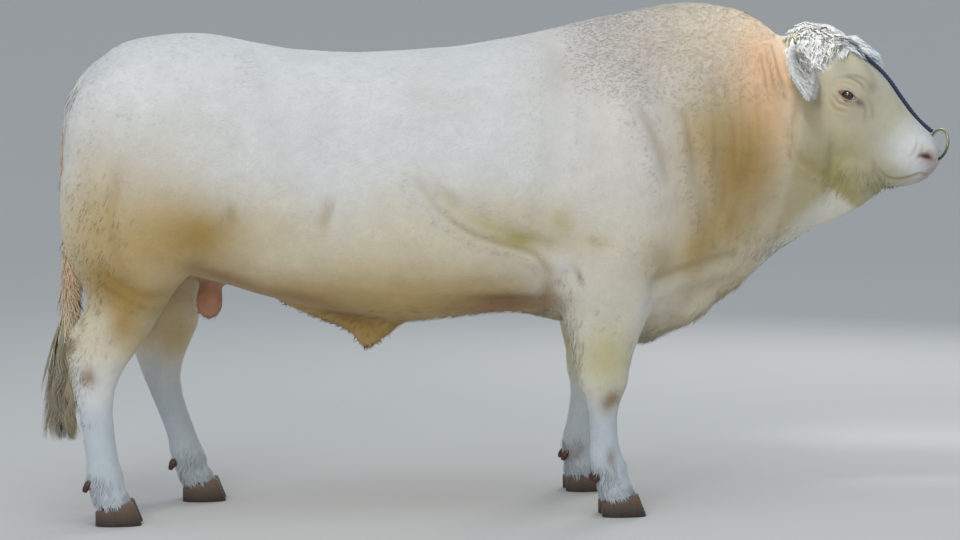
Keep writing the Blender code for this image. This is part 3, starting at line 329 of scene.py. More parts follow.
def shell(name, rows, looped=False):
    """A closed surface through rows of equally many points: capped, or looped end to end."""
    rows = np.asarray(rows, float)
    count, sides = rows.shape[:2]
    grid = np.arange(count * sides).reshape(count, sides)
    low = grid if looped else grid[:-1]
    high = np.roll(grid, -1, axis=0) if looped else grid[1:]
    beside_low, beside_high = np.roll(low, -1, axis=1), np.roll(high, -1, axis=1)
    faces = [
        np.stack([low, beside_low, beside_high], -1).reshape(-1, 3),
        np.stack([low, beside_high, high], -1).reshape(-1, 3),
    ]
    points = rows.reshape(-1, 3)
    if not looped:
        ends = len(points)
        points = np.vstack([points, rows[0].mean(axis=0), rows[-1].mean(axis=0)])
        first, last = grid[0], grid[-1]
        faces.append(np.stack([np.full(sides, ends), np.roll(first, -1), first], -1))
        faces.append(np.stack([np.full(sides, ends + 1), last, np.roll(last, -1)], -1))
    faces = np.vstack(faces)
    a, b, c = (points[faces[:, k]] - points[0] for k in range(3))
    if (a * np.cross(b, c)).sum() < 0:
        faces = faces[:, ::-1]
    return mesh_object(name, points, faces)


def worn(obj, material, slot, *nodes):
    """Gives a piece its look, its place on the body and the nodes that it stands for."""
    obj.data.materials.clear()
    obj.data.materials.append(material)
    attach(obj, "root")
    if nodes:
        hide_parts(*nodes)
    return obj


# Skin


def swollen(node):
    """A copy of a node's points and faces, welded and a little larger."""
    bm = bmesh.new()
    bm.from_mesh(node.data)
    bmesh.ops.remove_doubles(bm, verts=bm.verts, dist=WELD_REACH)
    bmesh.ops.triangulate(bm, faces=bm.faces)
    bm.normal_update()
    points = np.array([vert.co + vert.normal * OVERLAP for vert in bm.verts])
    bm.verts.index_update()
    faces = np.array([[vert.index for vert in face.verts] for face in bm.faces])
    bm.free()
    return points, faces


def joined_flesh(nodes):
    """All nodes of flesh as one closed mesh of even cells."""
    points, faces, start = [], [], 0
    for name in FLESH:
        own, own_faces = swollen(nodes[name])
        points.append(own)
        faces.append(own_faces + start)
        start += len(own)
    return remeshed(mesh_object("skin", np.vstack(points), np.vstack(faces)), SKIN_VOXEL)


def neighbour_mean(obj):
    """A function that gives the mean of each point's neighbours."""
    first, second = read(obj.data.edges, "vertices", 2, np.int32).T
    size = len(obj.data.vertices)
    count = np.maximum(np.bincount(first, minlength=size) + np.bincount(second, minlength=size), 1)

    def mean(values):
        found = np.empty_like(values)
        for k in range(values.shape[1]):
            column = values[:, k]
            found[:, k] = np.bincount(first, column[second], size)
            found[:, k] += np.bincount(second, column[first], size)
        return found / count[:, None]

    return mean


def smoothness(points):
    """How far the skin is evened out: much on the trunk, little on face and feet."""
    head = to_head(points)
    on_head = eased(-0.05, 0.10, head[:, 0] + 0.6 * head[:, 1] + 0.12)
    low = eased(0.75, 0.35, points[:, 2])
    return np.clip(1 - 0.72 * on_head - 0.70 * low, 0.1, 1)[:, None]


# Each round moves points in towards their neighbours and nearly as far out again
EVEN_IN = 0.60
EVEN_OUT = 0.58
LEAST_EVENING = 0.35


def evened(skin, rounds, shrinks):
    """Takes the facets and cells out of the skin: first at its full volume, then a little more."""
    mean = neighbour_mean(skin)
    points = points_of(skin)
    strength = smoothness(points)
    for _ in range(rounds):
        points += EVEN_IN * strength * (mean(points) - points)
        points -= EVEN_OUT * strength * (mean(points) - points)
    for _ in range(shrinks):
        points += 0.5 * (mean(points) - points) * np.maximum(strength, LEAST_EVENING)
    set_points(skin, points)


def wants_finer(points):
    """True on the head, the folds of the neck and the feet."""
    x, _, z = points.T
    head = to_head(points)
    ahead = (head[:, 0] + 0.5 * head[:, 1] > -0.04) & (x > 0.84)
    return ahead | ((x > 0.52) & (x < 0.98) & (z > 0.84)) | (z < 0.20)


def wants_finest(points):
    """True round the eyes and on the muzzle."""
    s, h, _ = to_head(points).T
    eye = np.hypot(s - EYE_AT[0], h - EYE_AT[1]) < 0.055
    return (eye | ((s > 0.455) & (h < 0.05))) & (points[:, 0] > 0.9)


def finer(skin, wanted):
    """Splits the cells between the wanted points."""
    chosen = wanted(points_of(skin))
    with opened(skin.data) as bm:
        edges = [e for e in bm.edges if chosen[e.verts[0].index] and chosen[e.verts[1].index]]
        bmesh.ops.subdivide_edges(bm, edges=edges, cuts=1, use_grid_fill=True)
    skin.data.shade_smooth()


def make_skin(nodes):
    skin = joined_flesh(nodes)
    evened(skin, 20, 1)
    finer(skin, wants_finer)
    evened(skin, 8, 1)
    finer(skin, wants_finest)
    evened(skin, 6, 1)
    set_points(skin, points_of(skin) - normals_of(skin) * (COAT_DEPTH + OVERLAP))
    return skin


# Folds of the skin: a route in the side view, the groove's half width and depth


def along_route(flat, route):
    """Distance of each (a, b) point from a route, and its share of the way along."""
    length = way_along(route)
    best = np.full(len(flat), np.inf)
    share = np.zeros(len(flat))
    for k in range(len(route) - 1):
        step = route[k + 1] - route[k]
        t = np.clip((flat - route[k]) @ step / (step @ step), 0, 1)
        away = np.linalg.norm(flat - route[k] - t[:, None] * step, axis=1)
        nearer = away < best
        best = np.where(nearer, away, best)
        share = np.where(nearer, length[k] + t * (length[k + 1] - length[k]), share)
    return best, share / length[-1]


def groove(flat, facing, route, width, depth, lip):
    """Depth of a fold at each point, and how far each point lies in its shade."""
    route = smooth_path([(a, b, 0.0) for a, b in route], 5 * len(route))[:, :2]
    reach = 4.5 * width
    inside = (flat > route.min(axis=0) - reach) & (flat < route.max(axis=0) + reach)
    near = np.flatnonzero(inside.all(axis=1) & (facing > 0))
    lift, shade = np.zeros(len(flat)), np.zeros(len(flat))
    away, share = along_route(flat[near], route)
    fade = np.sin(math.pi * np.clip(0.04 + 0.92 * share, 0, 1)) ** 0.6 * facing[near]
    cut = np.exp(-((away / width) ** 2)) * fade
    raised = np.exp(-(((away - 2.1 * width) / (1.1 * width)) ** 2)) * fade
    lift[near] = depth * (lip * raised - cut)
    shade[near] = cut
    return lift, shade


BODY_FOLDS = (
    (((-0.281, 1.050), (-0.215, 0.960), (-0.125, 0.894), (-0.033, 0.860), (0.062, 0.832), (0.109, 0.791),
      (0.149, 0.710), (0.165, 0.660)), 0.011, 0.0040),
    (((0.245, 0.870), (0.275, 0.845), (0.315, 0.850)), 0.010, 0.002),
    (((0.425, 0.840), (0.445, 0.770), (0.450, 0.700), (0.440, 0.640), (0.418, 0.575)), 0.011, 0.006),
    (((0.391, 1.276), (0.435, 1.20), (0.467, 1.109), (0.486, 1.033)), 0.016, 0.004),
    (((0.547, 1.247), (0.567, 1.139), (0.583, 1.047), (0.612, 0.985), (0.632, 0.893)), 0.012, 0.007),
    (((0.650, 1.139), (0.657, 0.984), (0.671, 0.86)), 0.010, 0.004),
    (((0.713, 1.077), (0.720, 0.922)), 0.009, 0.004),
    (((0.772, 1.108), (0.767, 0.952)), 0.008, 0.003),
    (((0.862, 1.46), (0.873, 1.389), (0.897, 1.32), (0.925, 1.279), (0.924, 1.201), (0.910, 1.12),
      (0.893, 1.03)), 0.009, 0.007),
    (((0.838, 1.46), (0.848, 1.38), (0.862, 1.30), (0.880, 1.25)), 0.007, 0.004),
    (((0.815, 1.44), (0.826, 1.34), (0.835, 1.26)), 0.006, 0.0025),
    (((0.187, 0.789), (0.209, 0.761), (0.227, 0.731)), 0.012, 0.004),
    (((0.453, 0.724), (0.595, 0.769), (0.705, 0.793)), 0.018, 0.005),
    (((0.427, 0.607), (0.507, 0.669), (0.619, 0.70), (0.731, 0.746)), 0.012, 0.004),
    (((-1.159, 1.082), (-1.189, 0.964), (-1.174, 0.816), (-1.110, 0.727)), 0.018, 0.0035),
    (((-0.838, 0.977), (-0.830, 0.917)), 0.014, 0.003),
    (((-1.24, 0.80), (-1.18, 0.75), (-1.11, 0.705), (-1.02, 0.70)), 0.014, 0.005),
    (((-1.22, 0.735), (-1.16, 0.70), (-1.10, 0.665)), 0.010, 0.0035),
    (((-0.549, 0.992), (-0.564, 0.888)), 0.014, 0.003),
    (((0.36, 0.93), (0.30, 0.86), (0.33, 0.80)), 0.020, 0.003),
)

# Folds of the head, as (s, h) routes on both sides
HEAD_FOLDS = (
    (((0.178, -0.010), (0.205, 0.012), (0.240, 0.022), (0.268, 0.012)), 0.0045, 0.0030),
    (((0.190, 0.010), (0.220, 0.032), (0.255, 0.040), (0.290, 0.028)), 0.0050, 0.0025),
    (((0.200, -0.062), (0.232, -0.066), (0.262, -0.052)), 0.0040, 0.0022),
    (((0.205, -0.080), (0.240, -0.086), (0.272, -0.070)), 0.0045, 0.0016),
    (((0.283, -0.012), (0.305, -0.022), (0.330, -0.050)), 0.0050, 0.0022),
    (((0.283, 0.008), (0.315, -0.004), (0.350, -0.030)), 0.0045, 0.0018),
    (((0.430, -0.120), (0.455, -0.135), (0.470, -0.160)), 0.0070, 0.0030),
    (((0.500, 0.030), (0.520, 0.006), (0.528, -0.022)), 0.0045, 0.0018),
    (((0.478, 0.026), (0.498, 0.000), (0.505, -0.030)), 0.0045, 0.0014),
    (((0.150, -0.150), (0.220, -0.225), (0.300, -0.262), (0.370, -0.258)), 0.0120, 0.0040),
)
MOUTH = (
    (0.468, -0.124), (0.487, -0.129), (0.507, -0.123), (0.532, -0.101), (0.553, -0.066),
    (0.568, -0.038), (0.610, -0.030),
)
TUFT_REACH = through((-0.05, 0.075), (0.0, 0.108), (0.05, 0.122), (0.11, 0.126), (0.15, 0.110))
NOSTRIL = (0.537, 0.008)
NOSTRIL_TIP = 0.55


def nostril_share(head):
    """1 in the middle of a nostril, which is a comma that tips up towards the nose."""
    along, across = tilted(head[:, :2], NOSTRIL, NOSTRIL_TIP)
    away = (along / 0.020) ** 2 + ((across + 9 * along**2) / 0.0085) ** 2
    return np.exp(-(away**1.5)) * (np.abs(head[:, 2]) > 0.03)


def carve(skin):
    """Cuts the folds into the skin and keeps how far each point lies in one, for painted shade."""
    points, normals = points_of(skin), normals_of(skin)
    head = to_head(points)
    lift = np.zeros(len(points))
    shade = np.zeros(len(points))
    flat = points[:, [0, 2]]
    ahead = points[:, 0] > 0.9
    grooves = []
    for side in (-1, 1):
        facing = eased(0.05, 0.45, normals[:, 1] * side) * (points[:, 1] * side > 0)
        facing = facing * eased(0.14, 0.04, head[:, 0])
        for fold in BODY_FOLDS:
            grooves.append((min(0.012 / fold[1], 1), flat, facing, *fold, 0.35))
        facing = eased(0.1, 0.5, normals @ HEAD_LEFT * side) * (head[:, 2] * side > 0) * ahead
        grooves += [(0.6, head[:, :2], facing, *fold, 0.5) for fold in HEAD_FOLDS]
    muzzle = ((head[:, 0] > 0.44) & (head[:, 1] < 0.02) & ahead).astype(float)
    grooves.append((1, head[:, :2], muzzle, MOUTH, 0.0042, 0.006, 0.25))
    for dark, *fold in grooves:
        step, cut = groove(*fold)
        lift += step
        shade = np.maximum(shade, dark * cut)
    lift -= 0.010 * nostril_share(head) * ahead
    neck = round_share(flat, (0.70, 1.08), (0.17, 0.26))
    lift += 0.0022 * neck * noise(points, (0.026, 0.026, 0.24), 3)
    lift += 0.0014 * noise(points, 0.09, 5) * eased(0.3, 0.6, points[:, 2])
    lift += 0.0010 * crest_share(points) * noise(points, 0.020, 8)
    set_points(skin, points + normals * lift[:, None])
    return shade


def crest_share(points):
    """1 on the curly coat of hump and crest, fading down the shoulder."""
    x, z = points[:, 0], points[:, 2]
    over = z + 0.05 * noise(points, 0.12, 2)
    return eased(0.16, 0.34, x) * eased(0.90, 0.78, x) * eased(1.27, 1.42, over)


# Colours of the coat, with painted shade and painted light

# Where the cheek meets the neck on the right side: x at each height
CHEEK_LINE = through(
    (0.80, 0.850), (0.912, 0.870), (0.982, 0.884), (1.061, 0.898), (1.139, 0.910), (1.217, 0.924),
    (1.279, 0.931), (1.342, 0.927), (1.422, 0.915), (1.486, 0.912), (1.55, 0.900),
)


def head_share(points):
    """1 on the head and 0 on the neck, with a soft edge behind the cheeks."""
    head = to_head(points)
    right = eased(-0.025, 0.025, points[:, 0] - CHEEK_LINE(points[:, 2]))
    left = eased(-0.06, 0.06, head[:, 0] + 0.5 * head[:, 1] + 0.06) * eased(0.78, 0.90, points[:, 0])
    share = eased(-0.12, 0.0, points[:, 1])
    return right * (1 - share) + left * share


def blot(points, at, reach, tilt=0.0):
    """1 at a place in the side view, fading to 0 over its reach, with a ragged edge."""
    along, across = tilted(points[:, [0, 2]], at, tilt)
    away = (along / reach[0]) ** 2 + (across / reach[1]) ** 2
    found = np.zeros(len(points))
    near = away < 5
    ragged = 1 + 0.25 * noise(points[near], min(reach) * 0.8 + 0.004, 11)
    found[near] = np.exp(-away[near] * ragged) * eased(5, 3.5, away[near])
    return found


# Colour, place and reach in the side view, strength, tilt and side. A row that ends early
# isn't tilted, or lies on both sides.
BLOTS = (
    (TAN, (-0.93, 0.89), (0.12, 0.075), 0.95),
    (OCHRE, (-1.08, 0.91), (0.23, 0.21), 0.70),
    (TAN * 1.15, (-1.06, 0.83), (0.17, 0.10), 0.45),
    (OCHRE, (-1.24, 0.93), (0.09, 0.22), 0.50),
    (TAN, (-1.20, 0.745), (0.10, 0.055), 0.90, -0.6),
    (TAN, (-1.12, 0.700), (0.13, 0.06), 0.75),
    (TAN * 1.15, (-1.155, 0.625), (0.045, 0.085), 0.80),
    (TAN * 1.2, (-1.10, 0.58), (0.040, 0.060), 0.50),
    (TAN, (-1.05, 0.66), (0.07, 0.045), 0.45, 0.3),
    (TAN * 1.3, (-1.035, 0.54), (0.06, 0.09), 0.40, 0.0, 1),
    (OCHRE, (-0.68, 0.90), (0.14, 0.09), 0.25),
    (GREY * (1.12, 0.97, 0.84), (0.48, 1.46), (0.32, 0.18), 0.60),
    (GREY, (0.20, 1.37), (0.08, 0.07), 0.55, 0.3),
    (GREY, (0.40, 1.14), (0.07, 0.20), 0.20, -0.3),
    (GREY, (-0.244, 1.32), (0.08, 0.08), 0.25),
    (GREY, (-0.14, 1.28), (0.05, 0.05), 0.18),
    # Painted warm glow of sunlight on the neck behind the ear
    (PAINTED_GLOW, (0.82, 1.40), (0.10, 0.16), 0.75),
    (PAINTED_GLOW, (0.79, 1.23), (0.09, 0.13), 0.65),
    (TAN * 1.12, (0.72, 1.09), (0.18, 0.22), 0.94),
    (WARM, (0.30, 1.12), (0.22, 0.30), 0.60),
    (CREAM * 1.08, (0.77, 0.84), (0.09, 0.08), 0.50),
    (OCHRE, (0.62, 1.19), (0.10, 0.10), 0.55, -0.5),
    # Red-brown painted shade in the fold where the cheek meets the neck, on the right side
    (RED_BROWN_SHADE * 1.6, (0.925, 1.25), (0.014, 0.10), 0.60, 0.0, -1),
    (RED_BROWN_SHADE * 1.6, (0.905, 1.12), (0.014, 0.07), 0.40, 0.25, -1),
    (TAN * 1.1, (0.60, 0.83), (0.05, 0.09), 0.70, -0.3),
    # Red-brown painted shade at the foot of a neck fold
    (RED_BROWN_SHADE * 1.8, (0.705, 0.93), (0.020, 0.030), 0.50),
    (OCHRE, (0.70, 0.91), (0.10, 0.09), 0.60),
    (OCHRE, (0.57, 0.82), (0.18, 0.06), 0.42, 0.4),
    (TAN, (0.47, 0.80), (0.05, 0.09), 0.35, 0.5),
    # Painted light: a paler patch on the elbow, against its shade
    (WARM, (0.15, 0.76), (0.10, 0.09), 0.60),
    # Ochre painted shade on the belly
    (OCHRE, (-0.36, 0.75), (0.30, 0.11), 0.36),
    (OCHRE, (0.04, 0.93), (0.20, 0.07), 0.34, -0.35),
    (OCHRE, (0.66, 0.69), (0.12, 0.10), 0.25),
    # Red-brown painted shade along the under line of the chest
    (RED_BROWN_SHADE * 1.2, (-0.03, 0.637), (0.12, 0.02), 0.80),
    # Olive painted shade in the band above the fold that runs from the ribs to the elbow
    (GREEN * 1.25, (-0.185, 0.985), (0.05, 0.022), 0.30, -0.8),
    (GREEN * 1.25, (-0.085, 0.918), (0.07, 0.024), 0.45, -0.4),
    (GREEN * 1.15, (0.025, 0.872), (0.065, 0.030), 0.80, -0.2),
    (GREEN * 1.35, (0.155, 0.925), (0.035, 0.040), 0.45),
    (GREEN * 1.35, (0.265, 0.862), (0.045, 0.016), 0.40, -0.3),
    # Red-brown painted shade along the under line, where the side turns under the belly
    (RED_BROWN_SHADE, (-0.86, 0.752), (0.12, 0.020), 0.75, -0.35),
    (RED_BROWN_SHADE, (-0.64, 0.690), (0.12, 0.020), 0.60, -0.2),
    (RED_BROWN_SHADE, (-0.48, 0.620), (0.10, 0.030), 0.65, -0.4),
    (RED_BROWN_SHADE, (0.02, 0.662), (0.14, 0.028), 0.95),
    # Painted shade: a dark edge along the under line of the chest, and the fold behind the elbow
    (DIRT_AND_SHADE * 0.7, (0.00, 0.686), (0.13, 0.014), 0.80),
    (DIRT_AND_SHADE * 1.2, (0.130, 0.700), (0.020, 0.050), 0.55, 0.2),
    (GREEN * 1.6, (0.31, 0.50), (0.12, 0.13), 0.62),
    # Painted highlight on the point of the elbow
    (WHITE, (0.172, 0.785), (0.022, 0.030), 0.85, 0.3),
    # Grey painted shade in folds: a fold of the flank, the crease of the elbow and the fold over the
    # ribs
    (GREY * 0.8, (-0.537, 0.961), (0.007, 0.032), 0.60, -0.2),
    (GREY * 0.5, (0.217, 0.752), (0.008, 0.026), 0.90, 0.39),
    (GREY * 0.8, (-0.225, 1.008), (0.010, 0.012), 0.45),
    (DIRT_AND_SHADE, (0.331, 0.372), (0.030, 0.024), 0.80, 0.5, -1),
    (DIRT_AND_SHADE, (0.312, 0.352), (0.016, 0.026), 0.55, 0.0, -1),
    (DIRT_AND_SHADE, (0.325, 0.185), (0.016, 0.030), 0.60, 0.0, -1),
    (DIRT_AND_SHADE, (-1.266, 0.455), (0.024, 0.028), 0.80, 0.0, -1),
    (DIRT_AND_SHADE, (-1.322, 0.556), (0.020, 0.022), 0.80, 0.0, -1),
    (DIRT_AND_SHADE, (-1.285, 0.61), (0.010, 0.020), 0.35, 0.0, -1),
    (OCHRE, (-1.00, 0.56), (0.05, 0.09), 0.50, 0.0, 1),
    (DIRT_AND_SHADE, (0.29, 0.14), (0.030, 0.030), 0.50, 0.0, 1),
    (OCHRE, (-0.92, 0.40), (0.03, 0.05), 0.25, 0.0, 1),
)


def mixed(colour, other, share):
    return colour + (np.asarray(other) - colour) * share[:, None]


def layered(colour, *layers):
    """A colour under layers, each one a tint and its share at each point."""
    for tint, share in layers:
        colour = mixed(colour, tint, share)
    return colour


def coat_colour_and_painted_light(points, normals, shade):
    """The coat's colour at each point, with painted shade and painted light in it."""
    x, y, z = points.T
    on_head = head_share(points)
    on_body = 1 - on_head
    pale = eased(0.82, 1.10, z + 0.05 * noise(points, 0.2, 1)) * eased(0.66, 0.34, x)
    pale = np.maximum(pale, eased(0.56, 0.42, z))
    pale = np.maximum(pale, 0.8 * eased(0.42, 0.22, np.abs(x - 0.26)) * eased(0.9, 0.5, z))
    # Painted shade under the body: ochre low on the barrel, and tan where the skin faces down
    low = eased(0.84, 0.62, z) * eased(0.48, 0.56, z) * eased(-1.0, -0.6, x) * eased(0.20, 0.0, x)
    under = eased(-0.35, -0.85, normals[:, 2]) * eased(0.46, 0.54, z)
    # The lower legs take a white tinted blue, as painted sky light
    colour = layered(
        CREAM, (WHITE, pale), (OCHRE, 0.85 * low), (SKYLIT_WHITE, eased(0.42, 0.30, z)),
        (TAN, 0.55 * under * on_body),
    )
    for tint, at, reach, strength, *rest in BLOTS:
        tilt, side = (*rest, 0, 0)[:2]
        share = strength * blot(points, at, reach, tilt) * on_body
        if side:
            share = share * (y * side > 0)
        colour = mixed(colour, tint, share)
    # Streaks down the neck: its tan coat, with the painted shade of its fine folds
    neck = round_share(points[:, [0, 2]], (0.70, 1.08), (0.15, 0.22)) * on_body
    curls = crest_share(points) * eased(-0.1, 0.6, noise(points, 0.016, 8))
    # Painted shade on the low inner sides of the far legs, which the body shades
    far_leg_shade = (y > 0) * eased(0.0, -0.4, normals[:, 1]) * eased(0.52, 0.40, z)
    colour = layered(
        colour,
        (TAN, np.clip(0.65 * neck * noise(points, (0.014, 0.03, 0.16), 21), 0, 1)),
        (GREY * 0.9, 0.20 * curls),
        # Tan painted shade in the folds carved into the skin
        (TAN * 0.9, 0.45 * shade * eased(0.3, 0.5, z) * on_body),
        (SKYLIT_WHITE * 0.62, 0.35 * far_leg_shade),
    )
    colour = face_markings(colour, points, on_head, shade)
    fold = np.exp(-(((x + 0.41) / 0.14) ** 2)) * eased(0.64, 0.57, z) * (np.abs(y) < 0.08) * (z > 0.48)
    bag = blot(points, (-0.908, 0.66), (0.075, 0.10)) ** 0.35 * (np.abs(y) < 0.085)
    bag = bag * (z < 0.742) * (x > -0.98) * (x < -0.83)
    tail = eased(-1.225, -1.260, x) * eased(0.48, 0.56, z) * eased(0.058, 0.026, np.abs(y))
    tail = tail * eased(1.28, 1.10, z)
    # The tail is painted a brighter cream, with a warm glow high on it: painted light
    colour = layered(
        colour,
        (TAN * 1.1, 0.60 * fold), (BARE, 0.9 * np.clip(bag, 0, 1)),
        (CREAM * (1.2, 1.08, 1.0), 0.85 * tail), (PAINTED_GLOW, 0.45 * tail * eased(0.60, 0.80, z)),
    )
    colour *= (1 + 0.035 * noise(points, 0.05, 31) + 0.025 * noise(points, 0.012, 32))[:, None]
    return np.clip(colour, 0.01, 1)


def face_markings(colour, points, on_head, shade):
    """Lays the face's colours and its painted shade over the coat, by its place along and across the
    head.
    """
    head = to_head(points)
    s, h, q = head.T
    flat = head[:, :2]
    side = eased(0.02, 0.07, np.abs(q))
    ragged = 1 + 0.25 * noise(points, 0.02, 41)
    jaw = 0.75 * round_share(flat, (0.40, -0.235), (0.12, 0.05)) * ragged
    chin = 0.50 * round_share(flat, (0.50, -0.165), (0.06, 0.03)) * ragged
    cap = eased(0.010, -0.010, np.abs(q) - TUFT_REACH(s)) * eased(-0.055, -0.03, s)
    cap = cap * eased(0.165, 0.13, s) * (h > -0.04)
    nostril = round_share(flat, np.array(NOSTRIL) + (0.008, 0.004), (0.026, 0.022)) * side
    nose = np.maximum(1.3 * nostril, 0.7 * eased(0.560, 0.578, s)) * eased(-0.085, -0.055, h)
    brow = round_share(flat, (0.10, 0.03), (0.08, 0.05)) * eased(0.06, 0.0, np.abs(q))
    face = layered(
        FACE,
        (WHITE * (0.84, 0.86, 0.88), eased(0.36, 0.48, s) * eased(-0.12, -0.02, h)),
        (OCHRE * 1.1, 0.30 * round_share(flat, (0.20, -0.15), (0.13, 0.09)) * side * ragged),
        (GREEN, np.clip(jaw, 0, 1)),
        (GREEN, np.clip(chin, 0, 1)),
        (GREEN * 1.2, 0.35 * round_share(flat, (0.36, -0.16), (0.07, 0.06)) * side),
        (OCHRE * 1.25, 0.35 * eased(-0.20, -0.30, h)),
        (THROAT, eased(0.385, 0.430, s) * eased(-0.255, -0.290, h)),
        # Tan painted shade in the face's folds and the line of the mouth
        (TAN * 0.9, 0.50 * shade),
        (WHITE * 1.15, cap),
        (PINK * 0.75, 0.75 * np.clip(nose * ragged, 0, 1)),
        # Dark painted shade inside the nostrils
        (DARK, 0.92 * nostril_share(head)),
        (BARE * 1.1, 0.40 * round_share(flat, EYE_AT, (0.043, 0.026)) * side),
        (DARK * 3, 0.7 * round_share(flat, (0.277, -0.020), (0.017, 0.009)) * side),
        # Grey painted shade in the hollow of the forehead between the brows
        (GREY * 0.8, 0.5 * brow),
    )
    return mixed(colour, face, on_head)


# Materials

NOISE_DETAIL = 3.0
STRAND_STRETCH = 0.88


def feed(tree, socket, value):
    """Gives an input a value or another node's output."""
    if isinstance(value, bpy.types.NodeSocket):
        tree.links.new(value, socket)
    else:
        socket.default_value = value


def filled(tree, node, inputs):
    """A node with its inputs fed, by their names."""
    for name, value in inputs.items():
        feed(tree, node.inputs[name.replace("_", " ").title()], value)
    return node


def add_node(tree, kind, **inputs):
    return filled(tree, tree.nodes.new("ShaderNode" + kind), inputs)


def reckoned(tree, kind, operation, first, second, entry=1, output=0):
    """The sum, product or the like of two numbers or vectors."""
    node = add_node(tree, kind)
    node.operation = operation
    feed(tree, node.inputs[0], first)
    feed(tree, node.inputs[entry], second)
    return node.outputs[output]


def arithmetic(tree, operation, first, second):
    return reckoned(tree, "Math", operation, first, second)


def scaled(tree, vector, factor):
    return reckoned(tree, "VectorMath", "SCALE", vector, factor, entry="Scale")


def fine_noise(tree, place, scale):
    return add_node(tree, "TexNoise", vector=place, scale=scale, detail=NOISE_DETAIL).outputs["Fac"]


def spread_round_one(tree, value, spread):
    """Maps noise to factors about 1 that differ by the spread."""
    return arithmetic(tree, "ADD", arithmetic(tree, "MULTIPLY", value, 2 * spread), 1 - spread)


def bumped(tree, height, strength, distance):
    bump = add_node(tree, "Bump", strength=strength, distance=distance, height=height)
    feed(tree, tree.nodes["Principled BSDF"].inputs["Normal"], bump.outputs[0])


def new_material(name, roughness, **inputs):
    """A material, its tree, the input of its base colour and the place on the object."""
    made = bpy.data.materials.new(name)
    made.use_nodes = True
    tree = made.node_tree
    shader = filled(tree, tree.nodes["Principled BSDF"], {"roughness": roughness, **inputs})
    return made, tree, shader.inputs["Base Color"], add_node(tree, "TexCoord").outputs["Object"]


def attribute(tree, name, output):
    node = add_node(tree, "Attribute")
    node.attribute_name = name
    return node.outputs[output]


def hair_material(name, roughness, bump, grain):
    """Fur: its colour is the coat's, with painted shade and light, its strands run along the lie of the
    coat.
    """
    made, tree, base, place = new_material(name, roughness, sheen_weight=0.2, sheen_roughness=0.5)
    tree.nodes["Principled BSDF"].inputs["Specular IOR Level"].default_value = 0.2
    lie = attribute(tree, "lie", "Vector")
    along = reckoned(tree, "VectorMath", "DOT_PRODUCT", place, lie, output="Value")
    back = scaled(tree, lie, arithmetic(tree, "MULTIPLY", along, -STRAND_STRETCH))
    strands = fine_noise(tree, reckoned(tree, "VectorMath", "ADD", place, back), grain)
    patches = fine_noise(tree, place, 38.0)
    share = arithmetic(
        tree, "MULTIPLY", spread_round_one(tree, strands, 0.13), spread_round_one(tree, patches, 0.07)
    )
    feed(tree, base, scaled(tree, attribute(tree, "coat", "Color"), share))
    height = arithmetic(tree, "ADD", strands, arithmetic(tree, "MULTIPLY", patches, 0.6))
    bumped(tree, height, bump, 0.003)
    return made


def plain_material(name, colour, roughness, grain, spread, bump=0.1, **inputs):
    """A finish with a fine uneven tint and surface."""
    made, tree, base, place = new_material(name, roughness, **inputs)
    tone = fine_noise(tree, place, grain)
    tint = add_node(tree, "RGB").outputs[0]
    tint.default_value = (*colour, 1)
    feed(tree, base, scaled(tree, tint, spread_round_one(tree, tone, spread)))
    bumped(tree, tone, bump, 0.001)
    return made


def height_material(name, low, high, colours, roughness, squeeze, grain, **inputs):
    """A finish whose colour changes with the height above the floor, under fine streaks."""
    made, tree, base, place = new_material(name, roughness, **inputs)
    flat = add_node(tree, "Mapping", vector=place, scale=squeeze)
    streaks = fine_noise(tree, flat.outputs[0], grain)
    apart = add_node(tree, "SeparateXYZ", vector=place)
    height = add_node(tree, "MapRange", value=apart.outputs["Z"], from_min=low, from_max=high)
    ramp = add_node(tree, "ValToRGB", fac=height.outputs[0])
    for element, colour in zip(ramp.color_ramp.elements, colours):
        element.color = (*colour, 1)
    feed(tree, base, scaled(tree, ramp.outputs["Color"], spread_round_one(tree, streaks, 0.4)))
    bumped(tree, streaks, 0.25, 0.001)
    return made


def store_vectors(obj, name, kind, values):
    """Keeps a colour or a direction for each point, for the material to read."""
    layer = obj.data.attributes.new(name, kind, "POINT")
    values = np.broadcast_to(values, (len(obj.data.vertices), 3))
    field = "vector"
    if kind == "FLOAT_COLOR":
        field = "color"
        values = np.hstack([np.clip(values, 0, 1), np.ones((len(values), 1))])
    layer.data.foreach_set(field, values.astype(np.float32).ravel())


def dressed(obj, colours, lies):
    store_vectors(obj, "coat", "FLOAT_COLOR", colours)
    store_vectors(obj, "lie", "FLOAT_VECTOR", lies)


# The lie of the coat


def lie_of_coat(points, normals):
    """The direction in which the hair runs at each point, along the skin."""
    x, y, z = points.T
    head = to_head(points)
    share = eased(0.85, 0.60, z)[:, None]
    way = np.array([-1.0, 0.0, -0.55]) * (1 - share) + np.array([-0.12, 0.0, -1.0]) * share
    way = way + eased(0.55, 0.8, x)[:, None] * np.array([0.35, 0.0, -0.5])
    on_head = head_share(points)[:, None]
    cheek = eased(0.0, -0.12, head[:, 1])[:, None]
    face = 0.8 * HEAD_ALONG - 0.25 * HEAD_UP - cheek * (1.25 * HEAD_ALONG + 0.7 * HEAD_UP)
    way = way * (1 - on_head) + face * on_head
    tail = ((x < -1.31) & (np.abs(y) < 0.06))[:, None]
    way = np.where(tail, np.array([-0.1, 0.0, -1.0]), way)
    swirl = np.stack([noise(points, 0.13, seed) for seed in (51, 52, 53)], -1)
    return flattened(way + 0.30 * swirl, normals)


# Tufts of hair: how deep they start in the skin, and the patch of the map that each one takes
# up, in which its points are spread by a turn and by chance

ROOT_DEPTH = 0.0012
MAP_PATCH = 0.0010
MAP_TURN = 2.4
MAP_CHANCE = 0.0005


